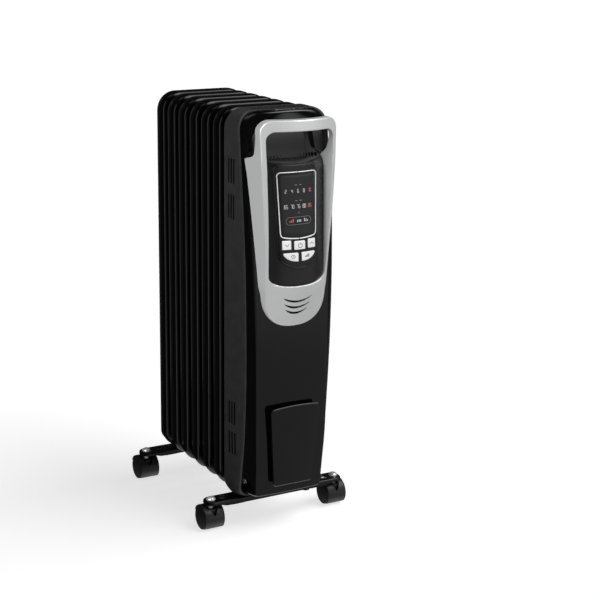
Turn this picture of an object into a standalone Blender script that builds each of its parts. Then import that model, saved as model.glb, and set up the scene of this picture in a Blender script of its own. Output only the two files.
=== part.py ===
"""Oil filled radiator heater.

Seven pressed steel fins on two leg brackets with twin-wheel casters, and a plastic control housing on the
front fin that carries the handle bezel, the control pod and the cord-wrap plate.
Metres, +Z up, front towards -Y, +X to the right of someone facing the front, origin on the floor.
"""

import math

import bmesh
import bpy
from mathutils import Matrix, Vector

GAP = 0.0003
SEAT_GAP = 0.0008

# Fins: each is a pan with its face to the front and its rim turned to the rear.
FIN_COUNT = 7
FIN_PITCH = 0.0393
FIN_1_FACE_Y = 0.1458
FIN_DEPTH = 0.0190
FIN_HALF_WIDTH = 0.0753
FIN_TOP = 0.6383
FIN_BOTTOM = 0.0473
FIN_TOP_RADIUS = 0.030
FIN_BOTTOM_RADIUS = 0.026
FIN_BEND_RADIUS = 0.008
FIN_SHEET = 0.0010
HUB_LOW_Z = 0.095
HUB_HIGH_Z = 0.590
HUB_RADIUS = 0.0155
HUB_BORE_RADIUS = 0.0085
HUB_REACH_FRONT = 0.0100
CHANNEL_X = 0.024
CHANNEL_HALF_WIDTH = 0.008
CHANNEL_DEPTH = 0.004

# Leg brackets and their clamps.
BRACKET_Y = {"front": -0.0883, "rear": 0.1509}
BRACKET_TOP = 0.0470
BRACKET_SHEET = 0.0020
BRACKET_HALF_LENGTH = 0.1190
BRACKET_HALF_WIDTH = 0.01475
BRACKET_CORNER_RADIUS = 0.0120
BRACKET_SKIRT_LOW = 0.0385
BRACKET_END_SKIRT_LOW = 0.0422
BRACKET_DEEP_HALF_LENGTH = 0.0910
TAB_HALF_WIDTH = 0.0330
CLAMP_WIRE_RADIUS = 0.0025
CLAMP_RADIUS = 0.0185
CLAMP_LOW = 0.0290

# Casters.
STEM_X = 0.1080
STEM_RADIUS = 0.0036
CASTER_TRAIL = 0.0047
WHEEL_RADIUS = 0.0188
WHEEL_SIDES = 24
WHEEL_INNER_X = 0.0062
WHEEL_OUTER_X = 0.0165
WHEEL_CAP = 0.0030
AXLE_RADIUS = 0.0025
AXLE_Z = WHEEL_RADIUS * math.cos(math.pi / WHEEL_SIDES)
HOOD_RADIUS = 0.0204
HOOD_SHEET = 0.0014
HOOD_HALF_WIDTH = 0.0163
HOOD_WEB_HALF = 0.0056

# Control housing. Each station is (z, seam x, seam y, corner x, corner y, middle y) in plan view:
# the rear shell ends at the seam, and the front cover goes round the corner to the middle of the face.
HOUSING_REAR_Y = -0.0725
HOUSING_HALF_WIDTH = 0.0770
HOUSING_TOP = 0.6400
HOUSING_BOTTOM = 0.0480
HOUSING_TOP_RADIUS = 0.0300
HOUSING_BOTTOM_RADIUS = 0.0160
HOUSING_WALL = 0.0014
HOUSING_STATIONS = (
    (0.050, 0.0662, -0.1035, 0.0563, -0.1354, -0.1378),
    (0.085, 0.0680, -0.1113, 0.0577, -0.1381, -0.1408),
    (0.150, 0.0699, -0.1238, 0.0604, -0.1423, -0.1453),
    (0.215, 0.0707, -0.1293, 0.0609, -0.1433, -0.1468),
    (0.326, 0.0725, -0.1328, 0.0615, -0.1428, -0.1463),
    (0.430, 0.0737, -0.1313, 0.0645, -0.1388, -0.1428),
    (0.504, 0.0745, -0.1263, 0.0670, -0.1313, -0.1373),
    (0.577, 0.0750, -0.1188, 0.0690, -0.1213, -0.1290),
    (0.612, 0.0750, -0.1148, 0.0700, -0.1175, -0.1252),
    (0.640, 0.0742, -0.1075, 0.0695, -0.1110, -0.1200),
)
SEAM_LIP = 0.0013
CHIN_Y = -0.1080
CHIN_RISE = 0.0095
RIM_BOW = 0.0080
RIM_BOW_HALF_WIDTH = 0.0550
VENT_HALF_HEIGHT = 0.0180
VENT_HALF_WIDTH = 0.0018
VENT_ROWS_Z = (0.552, 0.4995, 0.1835, 0.135)
VENT_COLUMNS_Y = (-0.0867, -0.0940, -0.1013)
GRILLE_COUNT = 14
GRILLE_HALF_SPAN = 0.0440
GRILLE_Y = (-0.1060, -0.0780)
GRILLE_HALF_WIDTH = 0.0016

# Handle bezel. Each station is (z, ridge x, ridge y, middle y, rear x) in plan view.
BEZEL_STATIONS = (
    (0.322, 0.0500, -0.1456, -0.1484, 0.0500),
    (0.340, 0.0500, -0.1475, -0.1525, 0.0520),
    (0.360, 0.0505, -0.1490, -0.1585, 0.0546),
    (0.387, 0.0515, -0.1520, -0.1643, 0.0573),
    (0.430, 0.0530, -0.1553, -0.1693, 0.0605),
    (0.500, 0.0570, -0.1583, -0.1740, 0.0650),
    (0.577, 0.0615, -0.1570, -0.1755, 0.0685),
    (0.631, 0.0635, -0.1540, -0.1735, 0.0705),
)
BEZEL_TOP = 0.6310
BEZEL_BOTTOM = 0.3230
BEZEL_SHOULDER = 0.3600
BEZEL_TOP_RADIUS = 0.0170
BEZEL_WALL = 0.0030
HANDLE_DEPTH = 0.0120
HANDLE_LOW = 0.6150
HANDLE_FREE_LOW = 0.5760
WINDOW_BOTTOM = 0.3870
WINDOW_TOP_HALF = 0.0558
WINDOW_LOW_HALF = 0.0468
WINDOW_TOP_RADIUS = 0.0135
WINDOW_LOW_RISE = 0.0200
SMILE_SLOTS = ((0.3655, 0.0235), (0.3560, 0.0210), (0.3470, 0.0180))

# Control pod: a tilted, bowed panel that stands proud of a recessed surround.
PANEL_TOP = 0.5645
PANEL_BOTTOM = 0.4150
PANEL_TOP_Y = -0.1533
PANEL_SLOPE = 0.0775
PANEL_BOW_RADIUS = 0.1100
PANEL_TOP_HALF = 0.0362
PANEL_LOW_HALF = 0.0315
PANEL_STEP = 0.0045
POD_WALL = 0.0030
POD_REAR_TOP = 0.5720
DISPLAY_TOP = 0.5550
DISPLAY_BOTTOM = 0.4570
DISPLAY_TOP_HALF = 0.0334
DISPLAY_LOW_HALF = 0.0300
DISPLAY_RING_WIDTH = 0.0012
DISPLAY_DEPTH = 0.0016
BUTTON_CLEARANCE = 0.0004
BUTTON_PROUD = 0.0012

# Cord-wrap plate.
WRAP_TOP = 0.2010
WRAP_BOTTOM = 0.0740
WRAP_TOP_HALF = 0.0428
WRAP_LOW_HALF = 0.0335
WRAP_TOP_Y = -0.1577
WRAP_LOW_Y = -0.1497
WRAP_THICKNESS = 0.0032
WRAP_POST_HALF = 0.0180
WRAP_POST_Z = (0.0980, 0.1700)

# Inside the housing.
FIN_7_FACE_Y = FIN_1_FACE_Y - FIN_PITCH * (FIN_COUNT - 1)
HUB_FRONT_Y = FIN_7_FACE_Y - HUB_REACH_FRONT
SHIELD_Y = -0.1050
GLAND_X = 0.0400
GLAND_Y = -0.1190
GLAND_Z = 0.0510
GLAND_RADIUS = 0.0065
SWITCH_X = -0.0400
SWITCH_Y = -0.1180
PENDULUM_PIN_Z = 0.1080


def clear_scene():
    for old in list(bpy.data.objects):
        bpy.data.objects.remove(old, do_unlink=True)


def new_collection(name):
    made = bpy.data.collections.new(name)
    bpy.context.scene.collection.children.link(made)
    return made


def new_material(name, colour, roughness, metallic=0.0):
    made = bpy.data.materials.new(name)
    made.use_nodes = True
    shader = made.node_tree.nodes["Principled BSDF"]
    shader.inputs["Base Color"].default_value = (*colour, 1.0)
    shader.inputs["Roughness"].default_value = roughness
    shader.inputs["Metallic"].default_value = metallic
    made.diffuse_color = (*colour, 1.0)
    return made


clear_scene()
PARTS = new_collection("oil_radiator_heater")
CUTTERS = new_collection("cutters")

ENAMEL = new_material("black_enamel", (0.012, 0.012, 0.013), 0.18)
STEEL_BLACK = new_material("black_painted_steel", (0.016, 0.016, 0.017), 0.30)
ZINC = new_material("zinc_steel", (0.72, 0.72, 0.74), 0.28, 1.0)
BRASS = new_material("brass_fitting", (0.70, 0.52, 0.25), 0.35, 1.0)
SATIN_BLACK = new_material("satin_black_plastic", (0.030, 0.030, 0.031), 0.42)
GLOSS_BLACK = new_material("gloss_black_plastic", (0.010, 0.010, 0.011), 0.10)
SILVER = new_material("silver_painted_plastic", (0.56, 0.57, 0.58), 0.36, 0.55)
POD_BLACK = new_material("pod_black_plastic", (0.020, 0.020, 0.021), 0.30)
DISPLAY = new_material("smoked_display", (0.035, 0.036, 0.040), 0.12)
CHROME_TRIM = new_material("bright_trim", (0.80, 0.80, 0.82), 0.20, 1.0)
BUTTON_SILVER = new_material("button_silver", (0.80, 0.81, 0.82), 0.40)
NYLON = new_material("black_nylon", (0.022, 0.022, 0.023), 0.50)
TREAD = new_material("black_tread", (0.028, 0.028, 0.029), 0.70)
BOARD = new_material("circuit_board", (0.05, 0.22, 0.10), 0.60)
SHIELD = new_material("shield_steel", (0.62, 0.63, 0.64), 0.40, 1.0)
WHITE_PLASTIC = new_material("white_plastic", (0.80, 0.79, 0.75), 0.50)


# --- General modelling helpers -------------------------------------------------------------------------


def add_object(name, bm, material=None):
    """A part when it has a material, and a cutter when it has none."""
    bmesh.ops.recalc_face_normals(bm, faces=bm.faces)
    mesh = bpy.data.meshes.new(name)
    bm.to_mesh(mesh)
    bm.free()
    return add_mesh_object(name, mesh, material)


def add_mesh_object(name, mesh, material=None):
    made = bpy.data.objects.new(name, mesh)
    if material:
        PARTS.objects.link(made)
        mesh.materials.clear()
        mesh.materials.append(material)
        mesh.shade_smooth()
        mesh.set_sharp_from_angle(angle=math.radians(35))
    else:
        CUTTERS.objects.link(made)
        made.hide_render = True
        made.display_type = "WIRE"
    return made


def combine(target, other, operation):
    modifier = target.modifiers.new(operation.lower(), "BOOLEAN")
    modifier.operation = operation
    modifier.object = other
    modifier.solver = "EXACT"
    return modifier


def put_origin_at(obj, point):
    """Moves the object's origin to a point and leaves its surfaces where they are."""
    obj.data.transform(Matrix.Translation([-value for value in point]))
    obj.location = point


def baked_mesh(obj, name):
    """The evaluated mesh of a helper, for pieces that share it."""
    bpy.context.view_layer.update()
    graph = bpy.context.evaluated_depsgraph_get()
    mesh = bpy.data.meshes.new_from_object(obj.evaluated_get(graph))
    mesh.name = name
    return mesh


def smooth_row(stations, at):
    """The values of a station table at a height, on a smooth curve through its rows."""
    at = min(max(at, stations[0][0]), stations[-1][0])
    i = max(k for k in range(len(stations) - 1) if stations[k][0] <= at)
    low, high = stations[i], stations[i + 1]
    before = stations[max(i - 1, 0)]
    after = stations[min(i + 2, len(stations) - 1)]
    span = high[0] - low[0]
    t = (at - low[0]) / span
    values = []
    for a, b, c, d in zip(before[1:], low[1:], high[1:], after[1:]):
        slope_low = (c - a) / (high[0] - before[0]) * span
        slope_high = (d - b) / (after[0] - low[0]) * span
        values.append(
            b * (2 * t**3 - 3 * t**2 + 1)
            + slope_low * (t**3 - 2 * t**2 + t)
            + c * (3 * t**2 - 2 * t**3)
            + slope_high * (t**3 - t**2)
        )
    return values


def spread(low, high, count):
    return [low + (high - low) * i / (count - 1) for i in range(count)]


def arc(centre, radius, start, end, steps):
    """Points on an arc, angles in degrees."""
    return [
        (
            centre[0] + radius * math.cos(math.radians(angle)),
            centre[1] + radius * math.sin(math.radians(angle)),
        )
        for angle in spread(start, end, steps + 1)
    ]


def rounded_rectangle(half_width, low, high, low_radius, high_radius, steps):
    inner_low = half_width - low_radius
    inner_high = half_width - high_radius
    return (
        arc((inner_low, low + low_radius), low_radius, -90, 0, steps)
        + arc((inner_high, high - high_radius), high_radius, 0, 90, steps)
        + arc((-inner_high, high - high_radius), high_radius, 90, 180, steps)
        + arc((-inner_low, low + low_radius), low_radius, 180, 270, steps)
    )


def prism(outline, start, end, axis, bm=None):
    """A flat outline pushed along an axis. The outline's two values are the other two axes in X, Y, Z order."""
    bm = bm or bmesh.new()

    def place(point, level):
        spot = [point[0], point[1]]
        spot.insert("XYZ".index(axis), level)
        return bm.verts.new(spot)

    face = bm.faces.new([place(point, start) for point in outline])
    pushed = bmesh.ops.extrude_face_region(bm, geom=[face])
    step = Vector([end - start if letter == axis else 0.0 for letter in "XYZ"])
    moved = [item for item in pushed["geom"] if isinstance(item, bmesh.types.BMVert)]
    bmesh.ops.translate(bm, vec=step, verts=moved)
    return bm


def add_box(low, high, bm=None):
    bm = bm or bmesh.new()
    size = [b - a for a, b in zip(low, high)]
    middle = [(a + b) / 2 for a, b in zip(low, high)]
    place = Matrix.Translation(middle) @ Matrix.Diagonal((*size, 1.0))
    bmesh.ops.create_cube(bm, size=1.0, matrix=place)
    return bm


TURN_TO = {
    "X": Matrix.Rotation(math.radians(90), 4, "Y"),
    "Y": Matrix.Rotation(math.radians(-90), 4, "X"),
    "Z": Matrix.Identity(4),
}


def add_cylinder(centre, radius, length, axis, sides=24, bm=None):
    bm = bm or bmesh.new()
    bmesh.ops.create_cone(
        bm,
        cap_ends=True,
        segments=sides,
        radius1=radius,
        radius2=radius,
        depth=length,
        matrix=Matrix.Translation(centre) @ TURN_TO[axis],
    )
    return bm


def loft(sections):
    """A closed solid through closed sections with the same number of points."""
    bm = bmesh.new()
    rings = [[bm.verts.new(point) for point in section] for section in sections]
    count = len(rings[0])
    for ring, above in zip(rings, rings[1:]):
        for i in range(count):
            j = (i + 1) % count
            bm.faces.new((ring[i], ring[j], above[j], above[i]))
    bm.faces.new(rings[0])
    bm.faces.new(rings[-1])
    bmesh.ops.triangulate(bm, faces=bm.faces)
    return bm


def turned(name, profile, material, location, axis, sides, angle=0.0):
    """A profile of (radius, height) points turned about an axis with a Screw modifier."""
    mesh = bpy.data.meshes.new(name)
    points = [(radius, 0.0, height) for radius, height in profile]
    edges = [(i, i + 1) for i in range(len(points) - 1)]
    mesh.from_pydata(points, edges, [])
    made = add_mesh_object(name, mesh, material)
    screw = made.modifiers.new("turn", "SCREW")
    screw.axis = "Z"
    screw.steps = sides
    screw.render_steps = sides
    screw.use_merge_vertices = True
    screw.merge_threshold = 0.00001
    made.matrix_world = Matrix.Translation(location) @ TURN_TO[axis] @ Matrix.Rotation(angle, 4, "Z")
    return made


# --- Fins ----------------------------------------------------------------------------------------------


def fin_pan():
    """The open sheet of a fin: its face at y 0, a round bend, and a rim that runs to the rear."""
    outline = rounded_rectangle(
        FIN_HALF_WIDTH, FIN_BOTTOM, FIN_TOP, FIN_BOTTOM_RADIUS, FIN_TOP_RADIUS, 4
    )
    bm = bmesh.new()
    face = bm.faces.new([bm.verts.new((x, 0.0, z)) for x, z in outline])
    front_edges = list(face.edges)
    rim = bmesh.ops.extrude_edge_only(bm, edges=front_edges)["geom"]
    moved = [item for item in rim if isinstance(item, bmesh.types.BMVert)]
    bmesh.ops.translate(bm, vec=(0.0, FIN_DEPTH, 0.0), verts=moved)
    bmesh.ops.bevel(
        bm,
        geom=front_edges,
        offset=FIN_BEND_RADIUS,
        offset_type="OFFSET",
        segments=2,
        profile=0.5,
        affect="EDGES",
    )
    pan = add_object("fin_pan", bm)
    sheet = pan.modifiers.new("sheet", "SOLIDIFY")
    sheet.thickness = FIN_SHEET
    sheet.offset = -1.0
    sheet.use_even_offset = True
    return pan


def channel_outline(x):
    return rectangle(x - CHANNEL_HALF_WIDTH, x + CHANNEL_HALF_WIDTH, HUB_LOW_Z, HUB_HIGH_Z)


def fin_mesh(name, hub_rear, blind):
    """One fin with its oil channels and hub collars. A blind fin's bores stop short of the rear."""
    pan = fin_pan()
    web_front = FIN_SHEET * 0.4
    for x in (-CHANNEL_X, CHANNEL_X):
        bar = add_object("channel", prism(channel_outline(x), web_front, FIN_SHEET + CHANNEL_DEPTH, "Y"))
        combine(pan, bar, "UNION")
    for z in (HUB_LOW_Z, HUB_HIGH_Z):
        header = rounded_rectangle(CHANNEL_X + 0.007, z - 0.017, z + 0.017, 0.010, 0.010, 1)
        block = add_object("header", prism(header, web_front, FIN_SHEET + CHANNEL_DEPTH + 0.0007, "Y"))
        combine(pan, block, "UNION")
        length = hub_rear + HUB_REACH_FRONT
        middle = (0.0, hub_rear - length / 2, z)
        collar = add_object("collar", add_cylinder(middle, HUB_RADIUS, length, "Y", 16))
        combine(pan, collar, "UNION")
        bore_rear = hub_rear - 0.003 if blind else hub_rear + 0.01
        bore_length = bore_rear + HUB_REACH_FRONT + 0.01
        bore_middle = (0.0, bore_rear - bore_length / 2, z)
        bore = add_object("bore", add_cylinder(bore_middle, HUB_BORE_RADIUS, bore_length, "Y", 12))
        combine(pan, bore, "DIFFERENCE")
    mesh = baked_mesh(pan, name)
    bpy.data.objects.remove(pan)
    return mesh


def build_fins():
    through = fin_mesh("fin", FIN_PITCH - HUB_REACH_FRONT - GAP, False)
    closed = fin_mesh("rear_fin", FIN_SHEET + CHANNEL_DEPTH + 0.0030, True)
    for number in range(1, FIN_COUNT + 1):
        fin = add_mesh_object(f"fin_{number}", closed if number == 1 else through, ENAMEL)
        fin.location.y = FIN_1_FACE_Y - FIN_PITCH * (number - 1)


# --- Leg brackets and clamps ---------------------------------------------------------------------------


def bracket_outline(half_length, half_width, radius):
    x, y = half_length - radius, half_width - radius
    return (
        arc((x, -y), radius, -90, 0, 4)
        + arc((x, y), radius, 0, 90, 4)
        + arc((-x, y), radius, 90, 180, 4)
        + arc((-x, -y), radius, 180, 270, 4)
    )


def shifted(outline, dx=0.0, dy=0.0):
    return [(x + dx, y + dy) for x, y in outline]


def clamp_y(side):
    """The middle of the gap between the end fin and the next one, where the U-bolt holds the hub."""
    fin = 1 if side == "rear" else FIN_COUNT - 1
    face = FIN_1_FACE_Y - FIN_PITCH * (fin - 1)
    return face - (FIN_PITCH - FIN_DEPTH) / 2


def build_bracket(side):
    middle = BRACKET_Y[side]
    inward = -1 if side == "rear" else 1
    outer = bracket_outline(BRACKET_HALF_LENGTH, BRACKET_HALF_WIDTH, BRACKET_CORNER_RADIUS)
    bm = prism(shifted(outer, dy=middle), BRACKET_SKIRT_LOW, BRACKET_TOP, "Z")
    bracket = add_object(f"leg_bracket_{side}", bm, STEEL_BLACK)
    wall = BRACKET_SHEET
    inner = bracket_outline(
        BRACKET_HALF_LENGTH - wall, BRACKET_HALF_WIDTH - wall, BRACKET_CORNER_RADIUS - wall
    )
    hollow = prism(shifted(inner, dy=middle), 0.02, BRACKET_TOP - wall, "Z")
    combine(bracket, add_object("bracket_hollow", hollow), "DIFFERENCE")
    trim = bmesh.new()
    for way in (-1, 1):
        relief = [
            (way * (BRACKET_DEEP_HALF_LENGTH - 0.004), 0.020),
            (way * (BRACKET_DEEP_HALF_LENGTH - 0.004), BRACKET_SKIRT_LOW),
            (way * (BRACKET_DEEP_HALF_LENGTH + 0.010), BRACKET_END_SKIRT_LOW),
            (way * 0.150, BRACKET_END_SKIRT_LOW),
            (way * 0.150, 0.020),
        ]
        prism(relief, middle - 0.03, middle + 0.03, "Y", trim)
    combine(bracket, add_object("bracket_relief", trim), "DIFFERENCE")
    near = middle + inward * (BRACKET_HALF_WIDTH - 2 * wall)
    beyond = middle + inward * (BRACKET_HALF_WIDTH + wall)
    window = add_box(
        (-TAB_HALF_WIDTH + wall, min(near, beyond), 0.020),
        (TAB_HALF_WIDTH - wall, max(near, beyond), BRACKET_TOP - 0.8 * wall),
    )
    combine(bracket, add_object("bracket_window", window), "DIFFERENCE")
    far = clamp_y(side) + inward * 0.0085
    tab = add_box(
        (-TAB_HALF_WIDTH, min(near, far), BRACKET_TOP - 0.9 * wall),
        (TAB_HALF_WIDTH, max(near, far), BRACKET_TOP - GAP / 3),
    )
    combine(bracket, add_object("bracket_tab", tab), "UNION")
    holes = bmesh.new()
    for way in (-1, 1):
        add_cylinder((way * STEM_X, middle, BRACKET_TOP), STEM_RADIUS + GAP, 0.02, "Z", 16, holes)
        slot = arc((0.0, 0.0), 0.0050, 0, 345, 12)
        prism(shifted(slot, way * 0.0885, middle), 0.035, 0.055, "Z", holes)
        clamp_hole = CLAMP_WIRE_RADIUS + 0.0006
        add_cylinder((way * CLAMP_RADIUS, clamp_y(side), BRACKET_TOP), clamp_hole, 0.02, "Z", 12, holes)
    combine(bracket, add_object("bracket_holes", holes), "DIFFERENCE")


def build_clamp(side):
    """A U-bolt over the lower hub, and its two wing nuts under the bracket."""
    y = clamp_y(side)
    curve = bpy.data.curves.new(f"u_bolt_{side}", "CURVE")
    curve.dimensions = "3D"
    curve.bevel_depth = CLAMP_WIRE_RADIUS
    curve.bevel_resolution = 2
    curve.use_fill_caps = True
    path = [(CLAMP_RADIUS, CLAMP_LOW)] + arc((0.0, HUB_LOW_Z), CLAMP_RADIUS, 0, 180, 10)
    path.append((-CLAMP_RADIUS, CLAMP_LOW))
    spline = curve.splines.new("POLY")
    spline.points.add(len(path) - 1)
    for point, (x, z) in zip(spline.points, path):
        point.co = (x, y, z, 1.0)
    bolt = bpy.data.objects.new(f"u_bolt_{side}", curve)
    curve.materials.append(ZINC)
    PARTS.objects.link(bolt)
    for word, way in (("left", -1), ("right", 1)):
        x = way * CLAMP_RADIUS
        top = BRACKET_TOP - BRACKET_SHEET - GAP
        bm = add_cylinder((x, y, top - 0.0035), 0.0055, 0.007, "Z", 20)
        nut = add_object(f"wing_nut_{side}_{word}", bm, ZINC)
        wings = [(x - 0.012, top - 0.012), (x - 0.010, top - 0.0125), (x, top - 0.0065)]
        wings += [(x + 0.010, top - 0.0125), (x + 0.012, top - 0.012), (x + 0.004, top - 0.001)]
        wings += [(x - 0.004, top - 0.001)]
        combine(nut, add_object("wings", prism(wings, y - 0.001, y + 0.001, "Y")), "UNION")
        bore = add_cylinder((x, y, top - 0.01), CLAMP_WIRE_RADIUS + GAP, 0.04, "Z", 16)
        combine(nut, add_object("nut_bore", bore), "DIFFERENCE")


# --- Casters -------------------------------------------------------------------------------------------


def build_caster(end, side):
    name = f"caster_{end}_{side}"
    x = STEM_X if side == "right" else -STEM_X
    stem_y = BRACKET_Y[end]
    axle_y = stem_y + CASTER_TRAIL
    plate_low = BRACKET_TOP - BRACKET_SHEET - GAP
    stem_low = 0.0270
    stem_profile = [
        (0.0, 0.0500),
        (STEM_RADIUS, 0.0492),
        (STEM_RADIUS, plate_low),
        (0.0060, plate_low),
        (0.0060, plate_low - 0.0016),
        (STEM_RADIUS, plate_low - 0.0016),
        (STEM_RADIUS, stem_low),
        (0.0, stem_low),
    ]
    turned(f"{name}_stem", stem_profile, ZINC, (x, stem_y, 0.0), "Z", 16)
    nut_low = BRACKET_TOP + GAP
    nut_profile = [
        (0.0, nut_low + 0.0056),
        (0.0028, nut_low + 0.0052),
        (0.0056, nut_low + 0.0036),
        (0.0074, nut_low + 0.0010),
        (0.0074, nut_low),
        (STEM_RADIUS + GAP, nut_low),
        (STEM_RADIUS + GAP, nut_low + 0.0034),
        (0.0, nut_low + 0.0034),
    ]
    turned(f"cap_nut_{end}_{side}", nut_profile, ZINC, (x, stem_y, 0.0), "Z", 18)
    build_hood(f"{name}_hood", x, stem_y, axle_y, stem_low)
    rod = add_cylinder((0.0, 0.0, 0.0), AXLE_RADIUS, 2 * WHEEL_OUTER_X - 0.003, "X", 16)
    axle = add_object(f"{name}_axle", rod, ZINC)
    axle.location = (x, axle_y, AXLE_Z)
    for word, way in (("left", -1), ("right", 1)):
        build_wheel(f"{name}_wheel_{word}", x, axle_y, way)


def build_hood(name, x, stem_y, axle_y, stem_low):
    """A part-round cover over the wheels with a middle web, a stem socket and a V notch in front of it."""

    def hood_arc(radius, start, end, steps):
        return [(axle_y + u, AXLE_Z + v) for u, v in arc((0.0, 0.0), radius, start, end, steps)]

    inner = HOOD_RADIUS - HOOD_SHEET
    shell = hood_arc(HOOD_RADIUS, 25, 225, 14) + hood_arc(inner, 225, 25, 14)
    hood = add_object(name, prism(shell, x - HOOD_HALF_WIDTH, x + HOOD_HALF_WIDTH, "X"), NYLON)
    v_notch = [(x, 0.0262), (x + 0.0078, 0.0420), (x - 0.0078, 0.0420)]
    notch = add_object("hood_notch", prism(v_notch, stem_y - 0.030, stem_y + 0.0065, "Y"))
    combine(hood, notch, "DIFFERENCE")
    web_outline = hood_arc(HOOD_RADIUS - 0.0007, 35, 215, 10) + hood_arc(0.0075, 250, 350, 3)
    web = add_object("hood_web", prism(web_outline, x - HOOD_WEB_HALF, x + HOOD_WEB_HALF, "X"))
    crown = add_box((x - 0.02, stem_y - 0.03, 0.0332), (x + 0.02, stem_y + 0.0055, 0.0500))
    combine(web, add_object("web_crown", crown), "DIFFERENCE")
    combine(hood, web, "UNION")
    stem_hole = add_cylinder((x, stem_y, stem_low + 0.0125), STEM_RADIUS + GAP, 0.0260, "Z", 16)
    combine(hood, add_object("stem_hole", stem_hole), "DIFFERENCE")
    axle_hole = add_cylinder((x, axle_y, AXLE_Z), AXLE_RADIUS + GAP, 0.04, "X", 16)
    combine(hood, add_object("axle_hole", axle_hole), "DIFFERENCE")
    put_origin_at(hood, (x, stem_y, AXLE_Z))


def build_wheel(name, x, axle_y, way):
    """A tyre-shaped wheel with a domed outer cap. Its profile runs along the axle from the cap inwards."""
    bore = AXLE_RADIUS + GAP
    profile = [
        (0.0, WHEEL_OUTER_X + WHEEL_CAP),
        (0.0120, WHEEL_OUTER_X + WHEEL_CAP * 0.60),
        (WHEEL_RADIUS - 0.0012, WHEEL_OUTER_X - 0.0004),
        (WHEEL_RADIUS, WHEEL_OUTER_X - 0.0018),
        (WHEEL_RADIUS, WHEEL_INNER_X),
        (bore, WHEEL_INNER_X),
        (bore, WHEEL_OUTER_X - 0.0008),
        (0.0, WHEEL_OUTER_X - 0.0008),
    ]
    half_side = math.pi / WHEEL_SIDES
    wheel = turned(name, profile, TREAD, (x, axle_y, AXLE_Z), "X", WHEEL_SIDES, half_side)
    if way < 0:
        wheel.matrix_world = wheel.matrix_world @ Matrix.Rotation(math.pi, 4, "Y")


# --- Control housing -----------------------------------------------------------------------------------


def face_y(x, z):
    """The front cover's surface, between its corners."""
    _, _, corner_x, corner_y, middle_y = smooth_row(HOUSING_STATIONS, z)
    return middle_y + (corner_y - middle_y) * (x / corner_x) ** 2


def housing_section(z, inset):
    """Half of the housing in plan view, from behind the seam to the middle of the face, moved in by inset."""
    seam_x, seam_y, corner_x, corner_y, middle_y = smooth_row(HOUSING_STATIONS, z)
    lip = Vector((seam_x - inset, seam_y - SEAM_LIP))
    corner = Vector((corner_x - inset * 0.75, corner_y + inset))
    middle = Vector((0.0, middle_y + inset))
    cut = min(0.006, (lip - corner).length * 0.5)
    before = corner + (lip - corner).normalized() * cut
    along = corner.x - cut
    after = Vector((along, middle.y + (corner.y - middle.y) * (along / corner.x) ** 2))
    points = [lip, before]
    points.append(before * 0.25 + corner * 0.5 + after * 0.25)
    points.append(after)
    for share in (0.62, 0.30):
        points.append(Vector((corner.x * share, middle.y + (corner.y - middle.y) * share**2)))
    return [(p.x, p.y) for p in points]


def housing_body(name, inset, rear_y, material=None):
    """A solid of the housing's plan shape, trimmed to its rounded front view and its side view."""
    side_x = HOUSING_HALF_WIDTH - inset
    sections = []
    for z in spread(0.040, 0.650, 12):
        side = [(side_x, rear_y), (side_x, HOUSING_REAR_Y - 0.005)] + housing_section(z, inset)
        mirrored = [(-x, y) for x, y in reversed(side)]
        sections.append([(x, y, z) for x, y in side + mirrored])
    body = add_object(name, loft(sections), material)
    low, high = HOUSING_BOTTOM + inset, HOUSING_TOP - inset
    low_radius, high_radius = HOUSING_BOTTOM_RADIUS - inset, HOUSING_TOP_RADIUS - inset
    outline = rounded_rectangle(side_x + 0.0002, low, high, low_radius, high_radius, 5)
    trim = add_object(f"{name}_front_view", prism(outline, -0.25, 0.05, "Y"))
    chin = [(0.06, 0.02), (0.06, low), (CHIN_Y, low), (CHIN_Y - 0.030, low + CHIN_RISE)]
    chin += [(-0.26, low + 2 * CHIN_RISE), (-0.26, 0.02)]
    combine(trim, add_object(f"{name}_chin", prism(chin, -0.1, 0.1, "X")), "DIFFERENCE")
    combine(body, trim, "INTERSECT")
    return body


def seam_region(name, shift):
    """Everything in front of the seam between rear shell and front cover."""
    bm = bmesh.new()
    columns = (-0.09, -0.0550, -0.0370, -0.0185, 0.0, 0.0185, 0.0370, 0.0550, 0.09)
    rows = spread(0.030, 0.660, 14)
    grid = []
    for z in rows:
        seam_y = smooth_row(HOUSING_STATIONS, z)[1]
        lift = min(max((z - 0.600) / 0.025, 0.0), 1.0)
        line = []
        for x in columns:
            bow = max(1 - (x / RIM_BOW_HALF_WIDTH) ** 2, 0.0) * RIM_BOW * lift
            line.append(bm.verts.new((x, seam_y - bow + shift, z)))
        grid.append(line)
    faces = []
    for line, above in zip(grid, grid[1:]):
        for i in range(len(columns) - 1):
            faces.append(bm.faces.new((line[i], line[i + 1], above[i + 1], above[i])))
    pushed = bmesh.ops.extrude_face_region(bm, geom=faces)
    for item in pushed["geom"]:
        if isinstance(item, bmesh.types.BMVert):
            item.co.y = -0.25
    bmesh.ops.triangulate(bm, faces=bm.faces)
    return add_object(name, bm)


def vent_slots():
    bm = bmesh.new()
    for z in VENT_ROWS_Z:
        for y in VENT_COLUMNS_Y:
            for way in (-1, 1):
                ends = sorted((way * 0.060, way * 0.090))
                add_box(
                    (ends[0], y - VENT_HALF_WIDTH, z - VENT_HALF_HEIGHT),
                    (ends[1], y + VENT_HALF_WIDTH, z + VENT_HALF_HEIGHT),
                    bm,
                )
    for x in spread(-GRILLE_HALF_SPAN, GRILLE_HALF_SPAN, GRILLE_COUNT):
        add_box(
            (x - GRILLE_HALF_WIDTH, GRILLE_Y[0], HOUSING_TOP - 0.01),
            (x + GRILLE_HALF_WIDTH, GRILLE_Y[1], HOUSING_TOP + 0.01),
            bm,
        )
    return add_object("vent_slots", bm)


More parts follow.
